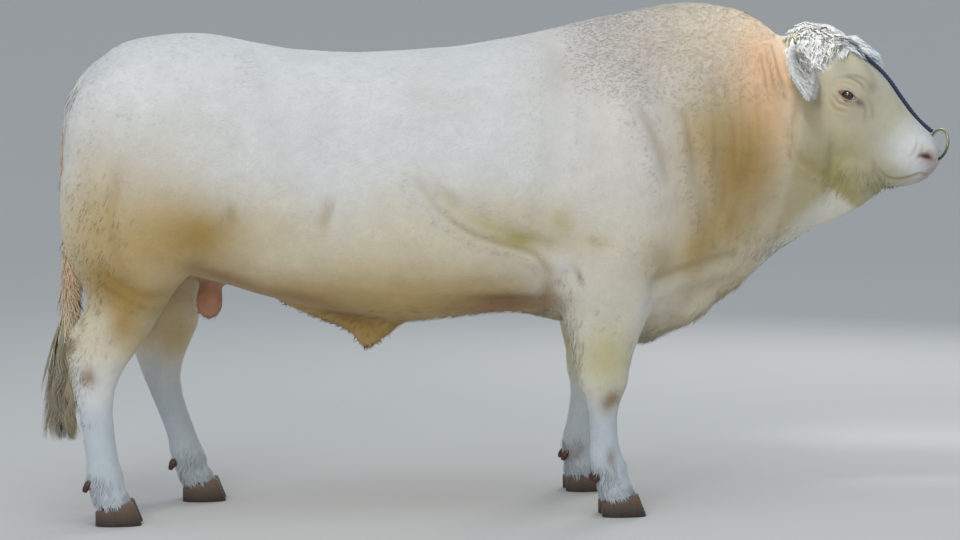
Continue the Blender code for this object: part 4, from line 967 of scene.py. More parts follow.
class Hair:
    """Tufts gathered for one mesh: closed, flat and tapered, bent along the lie of the coat.

    Soft tufts are shaded mostly as the skin under them is, so that they read as fur.
    """

    def __init__(self, name, steps, soft):
        self.name = name
        self.steps = steps
        self.soft = soft
        self.parts = []
        self.count = 0

    def grow(self, roots, normals, lies, colours, maps, length, width, lift, seed,
             curl=0.0, wave=1.0, droop=0.0, thick=0.2, phase=None):
        """Adds a tuft at each root: colour and sizes are the same for all or one for each."""
        draw = np.random.default_rng(seed)
        size, steps = len(roots), self.steps
        length, width, lift, curl = (
            np.broadcast_to(value, size)[:, None] for value in (length, width, lift, curl)
        )
        side = np.cross(normals, lies)
        if phase is None:
            phase = draw.uniform(0, 2 * math.pi, size)
        phase = phase[:, None]
        spine = []
        for u in np.linspace(0, 1, steps + 1):
            up = lift * math.sin(math.pi * min(0.72 * u + 0.02, 1)) - ROOT_DEPTH * (1 - u)
            swing = curl * length * (np.sin(phase + wave * 2 * math.pi * u) - np.sin(phase)) * u
            point = roots + lies * length * u + normals * up + side * swing
            spine.append(point - np.array([0, 0, 1]) * droop * length * u * u)
        points, shading = [], []
        for k, u in enumerate(np.linspace(0, 1, steps + 1)):
            ahead = spine[min(k + 1, steps)] - spine[max(k - 1, 0)]
            across = unit(np.cross(normals, ahead))
            over = unit(np.cross(ahead, across))
            half = 0.5 * width * (1 - u**1.8) * (0.75 + 0.5 * min(3 * u, 1) * (1 - 0.3 * u))
            corners = ((-across, half), (across, half), (over, 2 * thick * half))
            for way, reach in corners if k < steps else ((over, 0 * half),):
                points.append(spine[k] + way * reach)
                shading.append(unit(self.soft * normals + (1 - self.soft) * way))
        each = len(points)
        faces = [(0, 2, 1)]
        for k in range(steps - 1):
            a, b = 3 * k, 3 * (k + 1)
            for i in range(3):
                j = (i + 1) % 3
                faces += [(a + i, a + j, b + j), (a + i, b + j, b + i)]
        a = 3 * (steps - 1)
        faces += [(a, a + 1, each - 1), (a + 1, a + 2, each - 1), (a + 2, a, each - 1)]
        starts = self.count + each * np.arange(size)
        spots = MAP_TURN * np.arange(each)
        patch = MAP_PATCH * np.stack([np.cos(spots), np.sin(spots)], -1)
        patch = patch[None] + draw.uniform(-MAP_CHANCE, MAP_CHANCE, (size, each, 2))
        self.parts.append((
            np.stack(points, axis=1).reshape(-1, 3), np.stack(shading, axis=1).reshape(-1, 3),
            (np.array(faces)[None] + starts[:, None, None]).reshape(-1, 3),
            np.repeat(np.broadcast_to(colours, (size, 3)), each, axis=0), np.repeat(lies, each, axis=0),
            (maps[:, None, :] + patch).reshape(-1, 2),
        ))
        self.count += each * size
        return self

    def made(self, material, slot, *nodes):
        points, shading, faces, colours, lies, maps = (np.vstack(part) for part in zip(*self.parts))
        obj = mesh_object(self.name, points, faces, shading)
        dressed(obj, colours, lies)
        layer = obj.data.uv_layers.new(name="OFBake")
        layer.uv.foreach_set("vector", maps[faces.ravel()].astype(np.float32).ravel())
        return worn(obj, material, slot, *nodes)


class Field:
    """The skin as the ground that hair grows on."""

    def __init__(self, skin, shade):
        self.points = points_of(skin)
        self.normals = normals_of(skin)
        self.faces = triangles_of(skin)
        self.shade = shade
        corners = self.points[self.faces]
        across = np.cross(corners[:, 1] - corners[:, 0], corners[:, 2] - corners[:, 0])
        self.areas = np.linalg.norm(across, axis=1) / 2
        self.middles = corners.mean(axis=1)
        self.tree = tree_of(skin)
        plan = unwrapped(skin)
        self.plan_tree = tree_of(plan)
        self.plan_corners = points_of(plan)[triangles_of(plan)]
        self.plan_maps = read(plan.data.uv_layers["OFBake"].uv, "vector", 2).reshape(-1, 3, 2)
        bpy.data.objects.remove(plan)

    def sow(self, count, density, seed):
        """Random roots, as many as the density at each face's middle asks for."""
        draw = np.random.default_rng(seed)
        weight = self.areas * density(self.middles)
        chosen = draw.choice(len(weight), count, p=weight / weight.sum())
        shares = draw.dirichlet((1, 1, 1), count)
        corners = self.faces[chosen]
        roots, normals = (
            (values[corners] * shares[..., None]).sum(axis=1) for values in (self.points, self.normals)
        )
        return roots, unit(normals), (self.shade[corners] * shares).sum(axis=1)

    def places(self, roots):
        """Where each root lies on the unwrapped skin."""
        found = [self.plan_tree.find_nearest(Vector(root)) for root in roots]
        near = np.array([hit[0] for hit in found])
        index = np.array([hit[2] for hit in found])
        a, b, c = self.plan_corners[index].transpose(1, 0, 2)
        whole = np.linalg.norm(np.cross(b - a, c - a), axis=1)
        share_a = np.linalg.norm(np.cross(b - near, c - near), axis=1) / whole
        share_b = np.linalg.norm(np.cross(c - near, a - near), axis=1) / whole
        shares = np.stack([share_a, share_b, np.clip(1 - share_a - share_b, 0, 1)], -1)
        return (self.plan_maps[index] * shares[..., None]).sum(axis=1)


def unwrapped(skin):
    """A sparse copy of the skin, laid out flat in the map OFBake."""
    plan = add_object("plan", skin.data.copy())
    remeshed(plan, PLAN_VOXEL)
    with opened(plan.data) as bm:
        bmesh.ops.triangulate(bm, faces=bm.faces)
    plan.data.uv_layers.new(name="OFBake")
    for obj in bpy.context.selected_objects:
        obj.select_set(False)
    bpy.context.view_layer.objects.active = plan
    plan.select_set(True)
    bpy.ops.object.mode_set(mode="EDIT")
    bpy.ops.mesh.select_all(action="SELECT")
    bpy.ops.uv.smart_project(angle_limit=PLAN_ANGLE, island_margin=PLAN_MARGIN)
    bpy.ops.object.mode_set(mode="OBJECT")
    return plan


def thinned(count):
    return count


def bare_share(points):
    """1 where there is no hair: muzzle, nostrils, mouth, eyes and the hooves' tops."""
    s, h, q = to_head(points).T
    near = points[:, 0] > 0.8
    nose = eased(0.525, 0.550, s) * eased(-0.08, -0.04, h) * near
    eye = np.exp(-(((s - EYE_AT[0]) / 0.036) ** 2 + ((h - EYE_AT[1]) / 0.020) ** 2) ** 2)
    eye = eye * (np.abs(q) > 0.07) * near
    return np.clip(nose + 1.6 * eye + (points[:, 2] < 0.045), 0, 1)


COAT_TUFTS = 68000
COAT_SHARE = 17000
CREST_TUFTS = 12000
EVERYWHERE = 1e-9


def strewn(field, count, density, seeds, comb, tone, *spans):
    """Roots, normals, lies, colours, maps and sizes of tufts, the sizes drawn from their spans."""
    roots, normals, shade = field.sow(count, density, seeds[0])
    draw = np.random.default_rng(seeds[1])
    lies = comb(draw, roots, normals)
    colours = coat_colour_and_painted_light(roots, normals, shade) * draw.uniform(*tone, (count, 1))
    sizes = [draw.uniform(*span, count) for span in spans]
    return [roots, normals, lies, colours, field.places(roots), *sizes]


def brushed(spread):
    """A comb that turns each tuft a little aside from the lie of the coat."""

    def comb(draw, roots, normals):
        lies = lie_of_coat(roots, normals)
        return unit(lies + np.cross(normals, lies) * draw.normal(0, spread, (len(roots), 1)))

    return comb


def body_coat(field, material):
    """Short, flat tufts all over the body."""

    def density(points):
        face = (to_head(points)[:, 0] > 0.0) & (points[:, 0] > 0.85)
        fine = 1 + 1.2 * eased(0.6, 0.3, points[:, 2]) + 1.6 * face
        return fine * (1 - bare_share(points)) + EVERYWHERE

    total = thinned(COAT_TUFTS)
    tufts = strewn(
        field, total, density, (101, 102), brushed(0.12), (0.98, 1.02),
        (0.015, 0.025), (0.0028, 0.0044), (0.0002, 0.0007),
    )
    small = 1 - 0.45 * head_share(tufts[0])
    small = small * (1 - 0.35 * eased(0.5, 0.25, tufts[0][:, 2]))
    tufts[5:] = [size * small for size in tufts[5:]]
    for k in range(0, total, COAT_SHARE):
        some = (values[k : k + COAT_SHARE] for values in tufts)
        hair = Hair(f"coat_{k // COAT_SHARE + 1}", 2, 0.93).grow(*some, k + 5, curl=0.03, thick=0.05)
        hair.made(material, "cream_coat")


def crest_curls(field, material):
    """The curly, greyer coat of the hump and the crest of the neck."""
    tufts = strewn(
        field, thinned(CREST_TUFTS), lambda points: crest_share(points) + EVERYWHERE, (111, 112),
        brushed(0.5), (0.92, 1.08), (0.011, 0.019), (0.002, 0.0034), (0.0010, 0.0024),
    )
    hair = Hair("crest_curls", 3, 0.7).grow(*tufts, 113, curl=0.15, wave=0.9, thick=0.18)
    hair.made(material, "cream_coat")


# Longer hair: middle and reach, number of tufts, length, lift, lie and droop
FRINGES = (
    ((0.50, 0.0, 0.52), (0.16, 0.16, 0.05), 900, 0.034, 0.005, (-0.6, 0, -0.5), 0.3),
    ((0.66, 0.0, 0.66), (0.14, 0.10, 0.08), 500, 0.028, 0.004, (-0.5, 0, -0.6), 0.3),
    ((0.84, -0.05, 0.83), (0.14, 0.12, 0.05), 400, 0.020, 0.002, (-0.4, 0, -0.8), 0.3),
    ((-0.40, 0.0, 0.50), (0.05, 0.05, 0.05), 110, 0.024, 0.001, (0.2, 0, -1), 0.2),
    ((-0.30, 0.0, 0.60), (0.60, 0.25, 0.05), 1500, 0.024, 0.004, (-0.8, 0, -0.4), 0.3),
    ((-1.31, 0.0, 1.02), (0.05, 0.06, 0.26), 900, 0.045, 0.006, (-0.10, 0, -1), 0.1),
    ((-1.31, 0.0, 0.72), (0.05, 0.06, 0.16), 1100, 0.070, 0.010, (0.25, 0, -1), 0.0),
    ((-1.24, 0.0, 0.86), (0.07, 0.30, 0.20), 900, 0.026, 0.005, (-0.5, 0, -0.9), 0.1),
    ((0.17, 0.0, 0.52), (0.05, 0.35, 0.16), 900, 0.030, 0.006, (-0.5, 0, -1), 0.2),
    ((-1.34, 0.0, 0.45), (0.05, 0.30, 0.12), 500, 0.024, 0.005, (-0.5, 0, -1), 0.1),
)
CHIN = (0.47, -0.165, 0.0)
JAW = (0.36, -0.262, 0.0)
FETLOCK_HEIGHT = 0.135
CORONET_TOP = 0.078


def foot_places(leg):
    """Middle of a foot in x and y, from its claws."""
    inner, outer = (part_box(f"{leg}_{place}_claw") for place in ("inner", "outer"))
    low = np.minimum(inner[0], outer[0])
    high = np.maximum(inner[1], outer[1])
    return (low[0] + high[0]) / 2, (low[1] + high[1]) / 2


def fringes(field, material):
    """Longer hair at the brisket, belly, tail, thighs, forearms, chin and feet."""
    rows = list(FRINGES)
    rows.append((from_head(CHIN), (0.05, 0.05, 0.03), 220, 0.022, 0.004, (0.1, 0, -1), 0.1))
    rows.append((from_head(JAW), (0.10, 0.06, 0.04), 350, 0.024, 0.004, (-0.4, 0, -0.8), 0.2))
    for leg in LEGS:
        x, y = foot_places(leg)
        fetlock, coronet = (x - 0.05, y, FETLOCK_HEIGHT), (x + 0.02, y, CORONET_TOP)
        rows.append((fetlock, (0.03, 0.05, 0.03), 240, 0.036, 0.005, (-0.3, 0, -1), 0.1))
        rows.append((coronet, (0.09, 0.08, 0.014), 700, 0.026, 0.005, (0.35, 0, -1), 0.1))
    hair = Hair("long_hair", 3, 0.6)
    for seed, (at, reach, count, length, lift, lie, droop) in enumerate(rows):

        def density(points):
            return np.exp(-(((points - at) / reach) ** 2).sum(axis=1) * 1.2) + 1e-12

        def comb(draw, roots, normals):
            return flattened(np.array(lie) + draw.normal(0, 0.22, roots.shape), normals)

        tufts = strewn(
            field, thinned(count), density, (160 + seed, 200 + seed), comb, (0.92, 1.08),
            (0.7, 1.2), (0.0022, 0.0038), (0.4, 1.2),
        )
        tufts[5] *= length
        tufts[7] *= lift
        hair.grow(*tufts, 230 + seed, curl=0.07, droop=droop, thick=0.2)
    hair.made(material, "cream_coat")


# Ears, from root to tip, as (s, h, q) for the left side

EAR_ROOT = (0.018, -0.024, 0.128)
EAR_TIP = (0.172, -0.104, 0.226)
EAR_THICKNESS = 0.0052
EAR_BOW = 0.010
EAR_FORWARD = 0.62
EAR_ASIDE = 0.52
EAR_HALF_WIDTH = through(
    (0, 0.032), (0.12, 0.044), (0.25, 0.052), (0.5, 0.049), (0.65, 0.041), (0.75, 0.032),
    (0.93, 0.012), (1, 0.004),
)
EAR_CUP = through((0, 1.50), (0.15, 1.10), (0.35, 0.80), (0.6, 0.65), (1, 0.4))
CUP_LIMIT = through((0, 0.15), (0.25, 0.05), (0.40, -0.20), (0.52, -0.60), (0.62, -1.3))
EDGE_HAIRS = 1700
BACK_HAIRS = 900
CUP_HAIRS = 1700


def ear_frame(side):
    """An ear's root, the way to its tip, the way its cup faces and the way across it."""
    root, tip = (from_head(np.array(end) * (1, 1, side)) for end in (EAR_ROOT, EAR_TIP))
    along = unit(tip - root)
    open_to = EAR_FORWARD * HEAD_FORWARD + EAR_ASIDE * side * HEAD_LEFT
    open_to = flattened(open_to, along)
    return root, tip - root, along, open_to, np.cross(along, open_to)


def ear_surface(side, u, v, depth):
    """World place on an ear: u runs from root to tip, v from edge to edge, depth through it."""
    root, whole, _, open_to, across = ear_frame(side)
    cup = EAR_CUP(u)
    radius = EAR_HALF_WIDTH(u) / np.sin(np.minimum(cup, math.pi / 2))
    angle = v * cup
    reach = radius + depth * EAR_THICKNESS / 2 * (1 - 0.55 * np.abs(v) ** 6)
    back = reach * np.cos(angle) - radius * np.cos(cup) + EAR_BOW * np.sin(math.pi * u)
    aside = reach * np.sin(angle)
    return root + np.outer(u, whole) - np.outer(back, open_to) + np.outer(aside, across)


def cup_shade_share(u, v):
    """1 where the cup is painted grey as the shade inside it, 0 on the broad white rear rim and the tip.
    """
    return eased(0.10, -0.15, v - CUP_LIMIT(u)) * eased(-0.92, -0.45, v)


def ear(side, material):
    """A thin cupped leaf with rounded edges and low ribs inside its cup."""
    spans, levels = np.linspace(-1, 1, 21), np.linspace(-0.06, 1, 31)
    rows = []
    _, _, along, open_to, _ = ear_frame(side)
    for u in levels:
        level = np.full(len(spans), u)
        ribs = 0.0016 * np.sin(9 * spans) * math.sin(math.pi * max(u, 0))
        inner = ear_surface(side, level, spans, -1) + np.outer(ribs, open_to)
        rows.append(np.vstack([ear_surface(side, level, spans, 1), inner[::-1]]))
    name = "ear_" + SIDE_NAMES[side]
    obj = shell(name + "_skin", rows)
    points = points_of(obj)
    inside = np.append(np.tile(np.repeat([0.0, 1.0], len(spans)), len(rows)), [0, 0])
    across = np.append(np.tile(np.append(spans, spans[::-1]), len(rows)), [1, 1])
    up = np.append(np.repeat(levels, 2 * len(spans)), [0, 1])
    deep = inside * cup_shade_share(up, -side * across)
    # The ear is a white brighter than the coat, partly painted sunlight; its cup is painted grey as
    # shade, with darker clumps of its hair
    colour = layered(
        WHITE * 1.20,
        (GREY * 0.80, 0.85 * deep),
        (DARK * 3, 0.6 * deep * eased(0.1, 0.6, noise(points, 0.022, 61))),
    )
    dressed(obj, colour, along)
    worn(obj, material, "white_coat", name)


def ear_hair(side, field, material):
    """Thick white hair round the rim, short hair on the back and hair in the cup painted darker as
    shade.
    """
    draw = np.random.default_rng(120 + side)
    _, _, along, open_to, across = ear_frame(side)
    hair = Hair("ear_hair_" + SIDE_NAMES[side], 3, 0.75)

    def patch(u, v, depth, out, ways, colours, length, width, lift, seed):
        roots = ear_surface(side, u, v, depth)
        lies = unit(ways)
        normals = flattened(out, lies)
        hair.grow(
            roots, normals, lies, colours, field.places(roots), length, width, lift, seed,
            curl=0.09, thick=0.2,
        )

    # Rim and back hair are a white brighter than the coat, partly painted sunlight; hair in the cup is
    # painted darker as shade
    count = thinned(EDGE_HAIRS)
    edge = draw.choice((-1.0, 1.0), count)
    u = draw.uniform(0.0, 0.99, count)
    v = edge * draw.uniform(0.84, 1.0, count)
    ways = 0.9 * along + np.outer(edge * draw.uniform(-0.1, 0.55, count), across)
    ahead = (edge * side > 0) * draw.uniform(0.3, 1.0, count)
    ways = ways + np.outer(ahead, 0.4 * open_to - 0.4 * side * across) + draw.normal(0, 0.14, (count, 3))
    patch(
        u, v, 0.0, np.outer(0.30 * edge, across) + open_to, ways,
        WHITE * 1.22 * draw.uniform(0.94, 1.04, (count, 1)), draw.uniform(0.016, 0.030, count),
        draw.uniform(0.0024, 0.0040, count), draw.uniform(0.001, 0.005, count), 3,
    )
    count = thinned(BACK_HAIRS)
    patch(
        draw.uniform(0.0, 0.95, count), draw.uniform(-0.95, 0.95, count), 1.0,
        -open_to, along + draw.normal(0, 0.16, (count, 3)),
        WHITE * 1.15 * draw.uniform(0.92, 1.05, (count, 1)), draw.uniform(0.014, 0.022, count),
        draw.uniform(0.0024, 0.0036, count), draw.uniform(0.001, 0.003, count), 5,
    )
    count = thinned(CUP_HAIRS)
    u, v = draw.uniform(0.0, 0.95, count), draw.uniform(-0.95, 0.95, count)
    deep = cup_shade_share(u, -side * v)
    colours = mixed(WHITE * 1.22, GREY * 0.55, deep * draw.uniform(0.0, 1.0, count) ** 1.2)
    patch(
        u, v, -1.0, open_to,
        0.8 * along + np.outer(-0.25 * v, across) + 0.20 * open_to + draw.normal(0, 0.16, (count, 3)),
        colours, draw.uniform(0.016, 0.028, count), draw.uniform(0.0024, 0.0042, count),
        draw.uniform(0.001, 0.004, count) + 0.004 * deep, 4,
    )
    hair.made(material, "white_coat")


# Poll tuft and tail switch: locks and the hairs in each of them, how far the switch starts above
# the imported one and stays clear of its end, and the core that it hangs round

TUFT_LOCKS = 250
TUFT_HAIRS = 18
FALLING_LOCKS = 36
SWITCH_LOCKS = 70
SWITCH_HAIRS = 24
SWITCH_RISE = 0.06
SWITCH_CLEARANCE = 0.004
SWITCH_CORE = through((0, 0.020), (0.05, 0.017), (0.12, 0.012), (0.20, 0.005))
SWITCH_PALE = np.array([0.62, 0.53, 0.36])
SWITCH_DARK = np.array([0.30, 0.27, 0.20])


def clustered(draw, locks, each):
    """Which lock each hair belongs to, and the lock's own wave."""
    owner = np.repeat(np.arange(locks), each)
    phase = draw.uniform(0, 2 * math.pi, locks)[owner] + draw.normal(0, 0.25, locks * each)
    return owner, phase


def poll_tuft(field, material):
    """The curly white forelock over the poll, falling on to the far brow."""
    draw = np.random.default_rng(131)
    locks, each = TUFT_LOCKS, thinned(TUFT_HAIRS)
    s = draw.uniform(-0.028, 0.140, locks)
    q = draw.uniform(-1, 0.85, locks) * TUFT_REACH(s)
    falling = np.arange(locks) < FALLING_LOCKS
    s = np.where(falling, draw.uniform(0.07, 0.165, locks), s)
    q = np.where(falling, draw.uniform(0.045, 0.098, locks), q)
    owner, phase = clustered(draw, locks, each)
    count = locks * each
    spots = zip(s[owner] + draw.normal(0, 0.007, count), q[owner] + draw.normal(0, 0.007, count))
    roots, normals = np.array([met_from_above(field.tree, *spot) for spot in spots]).transpose(1, 0, 2)
    flow = 0.9 * eased(-0.03, 0.03, s)
    lies = np.outer(flow, HEAD_ALONG) + np.outer(q * 7, HEAD_LEFT) + draw.normal(0, 0.35, (locks, 3))
    lies = flattened(lies[owner] + draw.normal(0, 0.08, (count, 3)), normals)
    tint = draw.uniform(0, 1, locks)
    # Locks are a white brighter than the coat, partly painted sunlight. The few grey ones are partly
    # grey curls and partly painted shade among them; the blue-grey ones over the forehead are painted
    # shade.
    base = np.tile(WHITE * 1.24, (locks, 1))
    base = np.where((tint < 0.08)[:, None], CREAM, base)
    base = np.where(((tint > 0.90) & (s > 0.02) & (s < 0.10))[:, None], GREY * 0.6, base)
    base = np.where((s > 0.09)[:, None] & (tint > 0.4)[:, None], SKYLIT_WHITE * 1.25, base)
    colours = base[owner] * draw.uniform(0.94, 1.04, (count, 1))
    high = eased(0.125, 0.05, np.abs(q)) * eased(0.16, 0.08, s)
    high = np.maximum(high, falling)
    layer = (draw.uniform(0.0, 1.0, locks) ** 1.2 * high)[owner]
    hair = Hair("poll_tuft_locks", 6, 0.6).grow(
        roots + normals * (0.001 + 0.012 * layer)[:, None], normals, lies, colours,
        field.places(roots), draw.uniform(0.034, 0.056, locks)[owner] * draw.uniform(0.8, 1.05, count),
        draw.uniform(0.0032, 0.0056, count), (0.003 + draw.uniform(0.004, 0.012, locks) * high)[owner],
        132, curl=draw.uniform(0.08, 0.22, locks)[owner], wave=1.0, thick=0.3, phase=phase,
    )
    hair.made(material, "forelock", "poll_tuft")


def tail_switch(field, material):
    """The tail's long, wavy hair, hanging from the end of the tail's flesh."""
    low, high = (np.array(corner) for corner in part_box("tail_switch"))
    x, y = (low[:2] + high[:2]) / 2
    top = high[2] + SWITCH_RISE
    draw = np.random.default_rng(141)
    locks, each = SWITCH_LOCKS, thinned(SWITCH_HAIRS)
    owner, phase = clustered(draw, locks, each)
    count = locks * each
    depth = draw.uniform(0, 0.20, locks)[owner]
    turn = draw.uniform(0, 2 * math.pi, locks)[owner] + draw.normal(0, 0.12, count)
    outward = np.stack([np.cos(turn), np.sin(turn), np.zeros(count)], -1)
    roots = np.array([x, y, top]) - np.outer(depth, (0, 0, 1)) + outward * SWITCH_CORE(depth)[:, None]
    spread = draw.uniform(0.02, 0.20, locks)[owner] + draw.normal(0, 0.012, count)
    lies = unit(np.array([-0.05, 0, -1]) + outward * spread[:, None])
    length = draw.uniform(0.20, 0.33, locks)[owner] * draw.uniform(0.85, 1.05, count)
    length = np.minimum(length, top - depth - low[2] - SWITCH_CLEARANCE)
    tone = draw.uniform(0, 1, locks)[owner][:, None]
    colours = SWITCH_PALE * (1 - tone) + SWITCH_DARK * tone
    hair = Hair("tail_switch_locks", 12, 0.5).grow(
        roots, outward, lies, colours * draw.uniform(0.75, 1.3, (count, 1)), field.places(roots),
        length, draw.uniform(0.0018, 0.0040, count), draw.uniform(0.002, 0.008, count), 142,
        curl=draw.uniform(0.02, 0.075, locks)[owner], wave=1.9, thick=0.3, phase=phase,
    )
    hair.made(material, "switch_hair", "tail_switch")


# Eyes

EYE_RADIUS = 0.0205
LID_LENGTH = 0.0310
LID_ABOVE = 0.0150
LID_BELOW = 0.0120
LID_TIP = 0.38
LID_MIDDLE = 0.98
LID_EDGE = 0.86
LASHES = 60
CORNEA_RISE = 0.045
IRIS = np.array([0.050, 0.024, 0.014])
PUPIL = (0.004, 0.004, 0.006)
IRIS_RIM = (0.008, 0.006, 0.005)
EYE_CORNER = (0.06, 0.018, 0.012)


def eyeball(side):
    """A wet eye: broad dark pupil, brown iris, cornea standing a little proud."""
    name = "eye_" + SIDE_NAMES[side]
    centre = np.mean(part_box(name), axis=0)
    gaze = unit(HEAD_LEFT * side + 0.22 * HEAD_ALONG)
    level = flattened(HEAD_ALONG * math.cos(LID_TIP) + HEAD_UP * math.sin(LID_TIP), gaze)
    up = np.cross(gaze, level) * side
    rows = []
    for polar in np.linspace(0.02, math.pi - 0.02, 48):
        radius = EYE_RADIUS * (1 + CORNEA_RISE * math.exp(-((polar / 0.62) ** 4)))
        middle, reach = centre + radius * math.cos(polar) * gaze, radius * math.sin(polar)
        rows.append(round_section(middle, level, up, reach, reach, 64))
    obj = shell(name + "_ball", rows)
    offset = points_of(obj) - centre
    flat = np.stack([offset @ level, offset @ up], -1)
    away = np.linalg.norm(flat, axis=1) + np.where(offset @ gaze < 0, 1, 0)
    pupil = np.hypot(flat[:, 0] / 0.0080, flat[:, 1] / 0.0052)
    angle = np.arctan2(flat[:, 1], flat[:, 0])
    spokes = noise(np.stack([np.cos(angle) * 9, np.sin(angle) * 9, away * 300], -1), 1.0, 71)
    colour = layered(
        IRIS * (1 + 0.45 * spokes)[:, None],
        (PUPIL, eased(1.12, 0.92, pupil)),
        (IRIS_RIM, eased(0.0120, 0.0138, away)),
        (EYE_CORNER, 0.9 * eased(0.0150, 0.0170, away)),
    )
    store_vectors(obj, "coat", "FLOAT_COLOR", colour)
    made, tree, base, _ = new_material(name + "_look", 0.10, coat_weight=1.0)
    feed(tree, base, attribute(tree, "coat", "Color"))
    worn(obj, made, "eye", name)
    return centre


def lid_route(tree, centre, side, grow):
    """The almond between the lids, on the skin or the eyeball, whichever stands higher."""
    at = to_head(centre[None])[0]
    path = []
    for turn in full_turn(48):
        length = LID_LENGTH * grow * math.cos(turn)
        height = (LID_ABOVE if math.sin(turn) > 0 else LID_BELOW) * grow * math.sin(turn)
        height *= 1 - 0.35 * math.cos(turn) ** 2
        s = at[0] + length * math.cos(LID_TIP) - height * math.sin(LID_TIP)
        h = at[1] + length * math.sin(LID_TIP) + height * math.cos(LID_TIP)
        hit, _, _, _ = tree.ray_cast(Vector(from_head((s, h, side * 0.3))), Vector(HEAD_LEFT * -side))
        skin = (np.array(hit) - POLL) @ HEAD_LEFT * side
        ball = (EYE_RADIUS * 1.02) ** 2 - (s - at[0]) ** 2 - (h - at[1]) ** 2
        ball = abs(at[2]) + math.sqrt(max(ball, 0))
        path.append((s, h, max(skin - 0.001, ball)))
    path = np.array(path)
    depth = path[:, 2]
    for _ in range(4):
        depth = (np.roll(depth, 1) + depth * 2 + np.roll(depth, -1)) / 4
    path[:, 2] = depth * side
    return from_head(path)


def ring_sections(route, middle, wide_at, high_at, shift, facing):
    """Round sections across a closed route, each turned to face outwards from the middle."""
    rows = []
    for k, point in enumerate(route):
        forward = unit(route[(k + 1) % len(route)] - route[k - 1])
        outward = flattened(point - middle, forward)
        up = np.cross(forward, outward)
        up = up * np.sign(up @ facing)
        upper = float(outward @ HEAD_UP > 0)
        middle_here = point + shift * (outward - up)
        rows.append(round_section(middle_here, outward, up, wide_at(upper), high_at(upper)))
    return rows


def lids(centre, side, field, fur, wet):
    """Fleshy lids round the eye, their dark wet edges, and the lashes."""
    name = SIDE_NAMES[side]
    facing = HEAD_LEFT * side
    outer = lid_route(field.tree, centre, side, LID_MIDDLE)
    middle = outer.mean(axis=0)
    rows = ring_sections(
        outer, middle, lambda up: 0.0040 + 0.0010 * up, lambda up: 0.0028 + 0.0010 * up, 0.0008, facing
    )
    flesh = shell("lids_" + name, rows, looped=True)
    inner = np.cos(full_turn(len(rows[0])))
    share = (np.tile(inner, len(outer)) < -0.25).astype(float)
    below = (np.repeat((outer - middle) @ HEAD_UP, len(inner)) < 0).astype(float)
    dressed(flesh, mixed(FACE * 1.05, BARE * 0.60, 0.30 + 0.50 * share + 0.15 * below), HEAD_ALONG)
    worn(flesh, fur, "white_coat")
    rim = lid_route(field.tree, centre, side, LID_EDGE)
    rows = ring_sections(rim, middle, lambda up: 0.0017, lambda up: 0.0017, 0.0, facing)
    worn(shell("lid_edges_" + name, rows, looped=True), wet, "bare_skin")
    draw = np.random.default_rng(150 + side)
    spot = (draw.uniform(0.04, 0.46, LASHES) * len(rim)).astype(int)
    roots = rim[spot] + (outer[spot] - rim[spot]) * 0.4
    lies = facing + 0.35 * unit(roots - middle) + 0.25 * HEAD_ALONG
    lies = unit(lies + draw.normal(0, 0.10, (LASHES, 3)))
    hair = Hair("lashes_" + name, 4, 0.5).grow(
        roots, flattened(HEAD_UP, lies), lies, CREAM * 0.6, field.places(roots),
        draw.uniform(0.008, 0.014, LASHES), 0.0011, 0.002, 6, curl=0.03, droop=0.3, thick=0.5,
    )
    hair.made(fur, "white_coat")


# Hooves

CORONET_HEIGHT = 0.074
HEEL_HEIGHT = 0.044
CORONET_LENGTH = 0.12


def claw(node, look):
    """One hoof half: flat sole, sloping toe, growth rings and a soft band at the coronet."""
    low, high = (np.array(corner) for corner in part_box(node))
    turn = full_turn(44)
    across = np.sign(np.cos(turn)) * np.abs(np.cos(turn)) ** (2 / 2.4)
    along = np.sign(np.sin(turn)) * np.abs(np.sin(turn)) ** (2 / 2.2)
    rows = []
    for v in np.concatenate([[0.0, 0.03], np.linspace(0.07, 0.97, 16), [1.0]]):
        length = (high[0] - low[0]) * (0.80 + 0.20 * v)
        width = (high[1] - low[1]) * (0.90 + 0.10 * v)
        ring = 0.0007 * math.sin(40 * v) * (0.1 < v < 0.95)
        bevel = 0.94 if v in (0.0, 1.0) else 1.0
        middle = (low[0] + high[0]) / 2 - 0.014 * (1 - v) + 0.002
        x = middle + along * (length / 2 + ring) * bevel
        y = (low[1] + high[1]) / 2 + across * (width / 2 + ring) * bevel
        slope = (CORONET_HEIGHT - HEEL_HEIGHT) / CORONET_LENGTH
        top = HEEL_HEIGHT + slope * (x - middle + CORONET_LENGTH / 2)
        z = np.minimum(top, high[2]) * (1 - v)
        rows.append(np.stack([np.clip(x, low[0], high[0]), np.clip(y, low[1], high[1]), z], -1))
    worn(shell(node + "_horn", rows), look, "hoof", node)


def dewclaw(node, packed, look):
    """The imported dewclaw, rounded and finished as horn."""
    obj = add_object(node + "_horn", packed.data.copy())
    with opened(obj.data) as bm:
        bmesh.ops.remove_doubles(bm, verts=bm.verts, dist=WELD_REACH)
    step = obj.modifiers.new("round", "SUBSURF")
    step.levels = 2
    step.render_levels = 2
    apply_modifiers(obj)
    obj.data.shade_smooth()
    worn(obj, look, "hoof", node)


def hooves(nodes):
    horn = height_material("horn", 0.01, 0.075, HORN, 0.42, (1, 1, 0.08), 420.0)
    red_horn = plain_material("dewclaw_horn", DEWCLAW, 0.35, 160.0, 0.4, 0.3)
    for name in nodes:
        if name.endswith("dewclaw"):
            dewclaw(name, nodes[name], red_horn)
        elif name.endswith("claw"):
            claw(name, horn)


# Ring, rope and tag

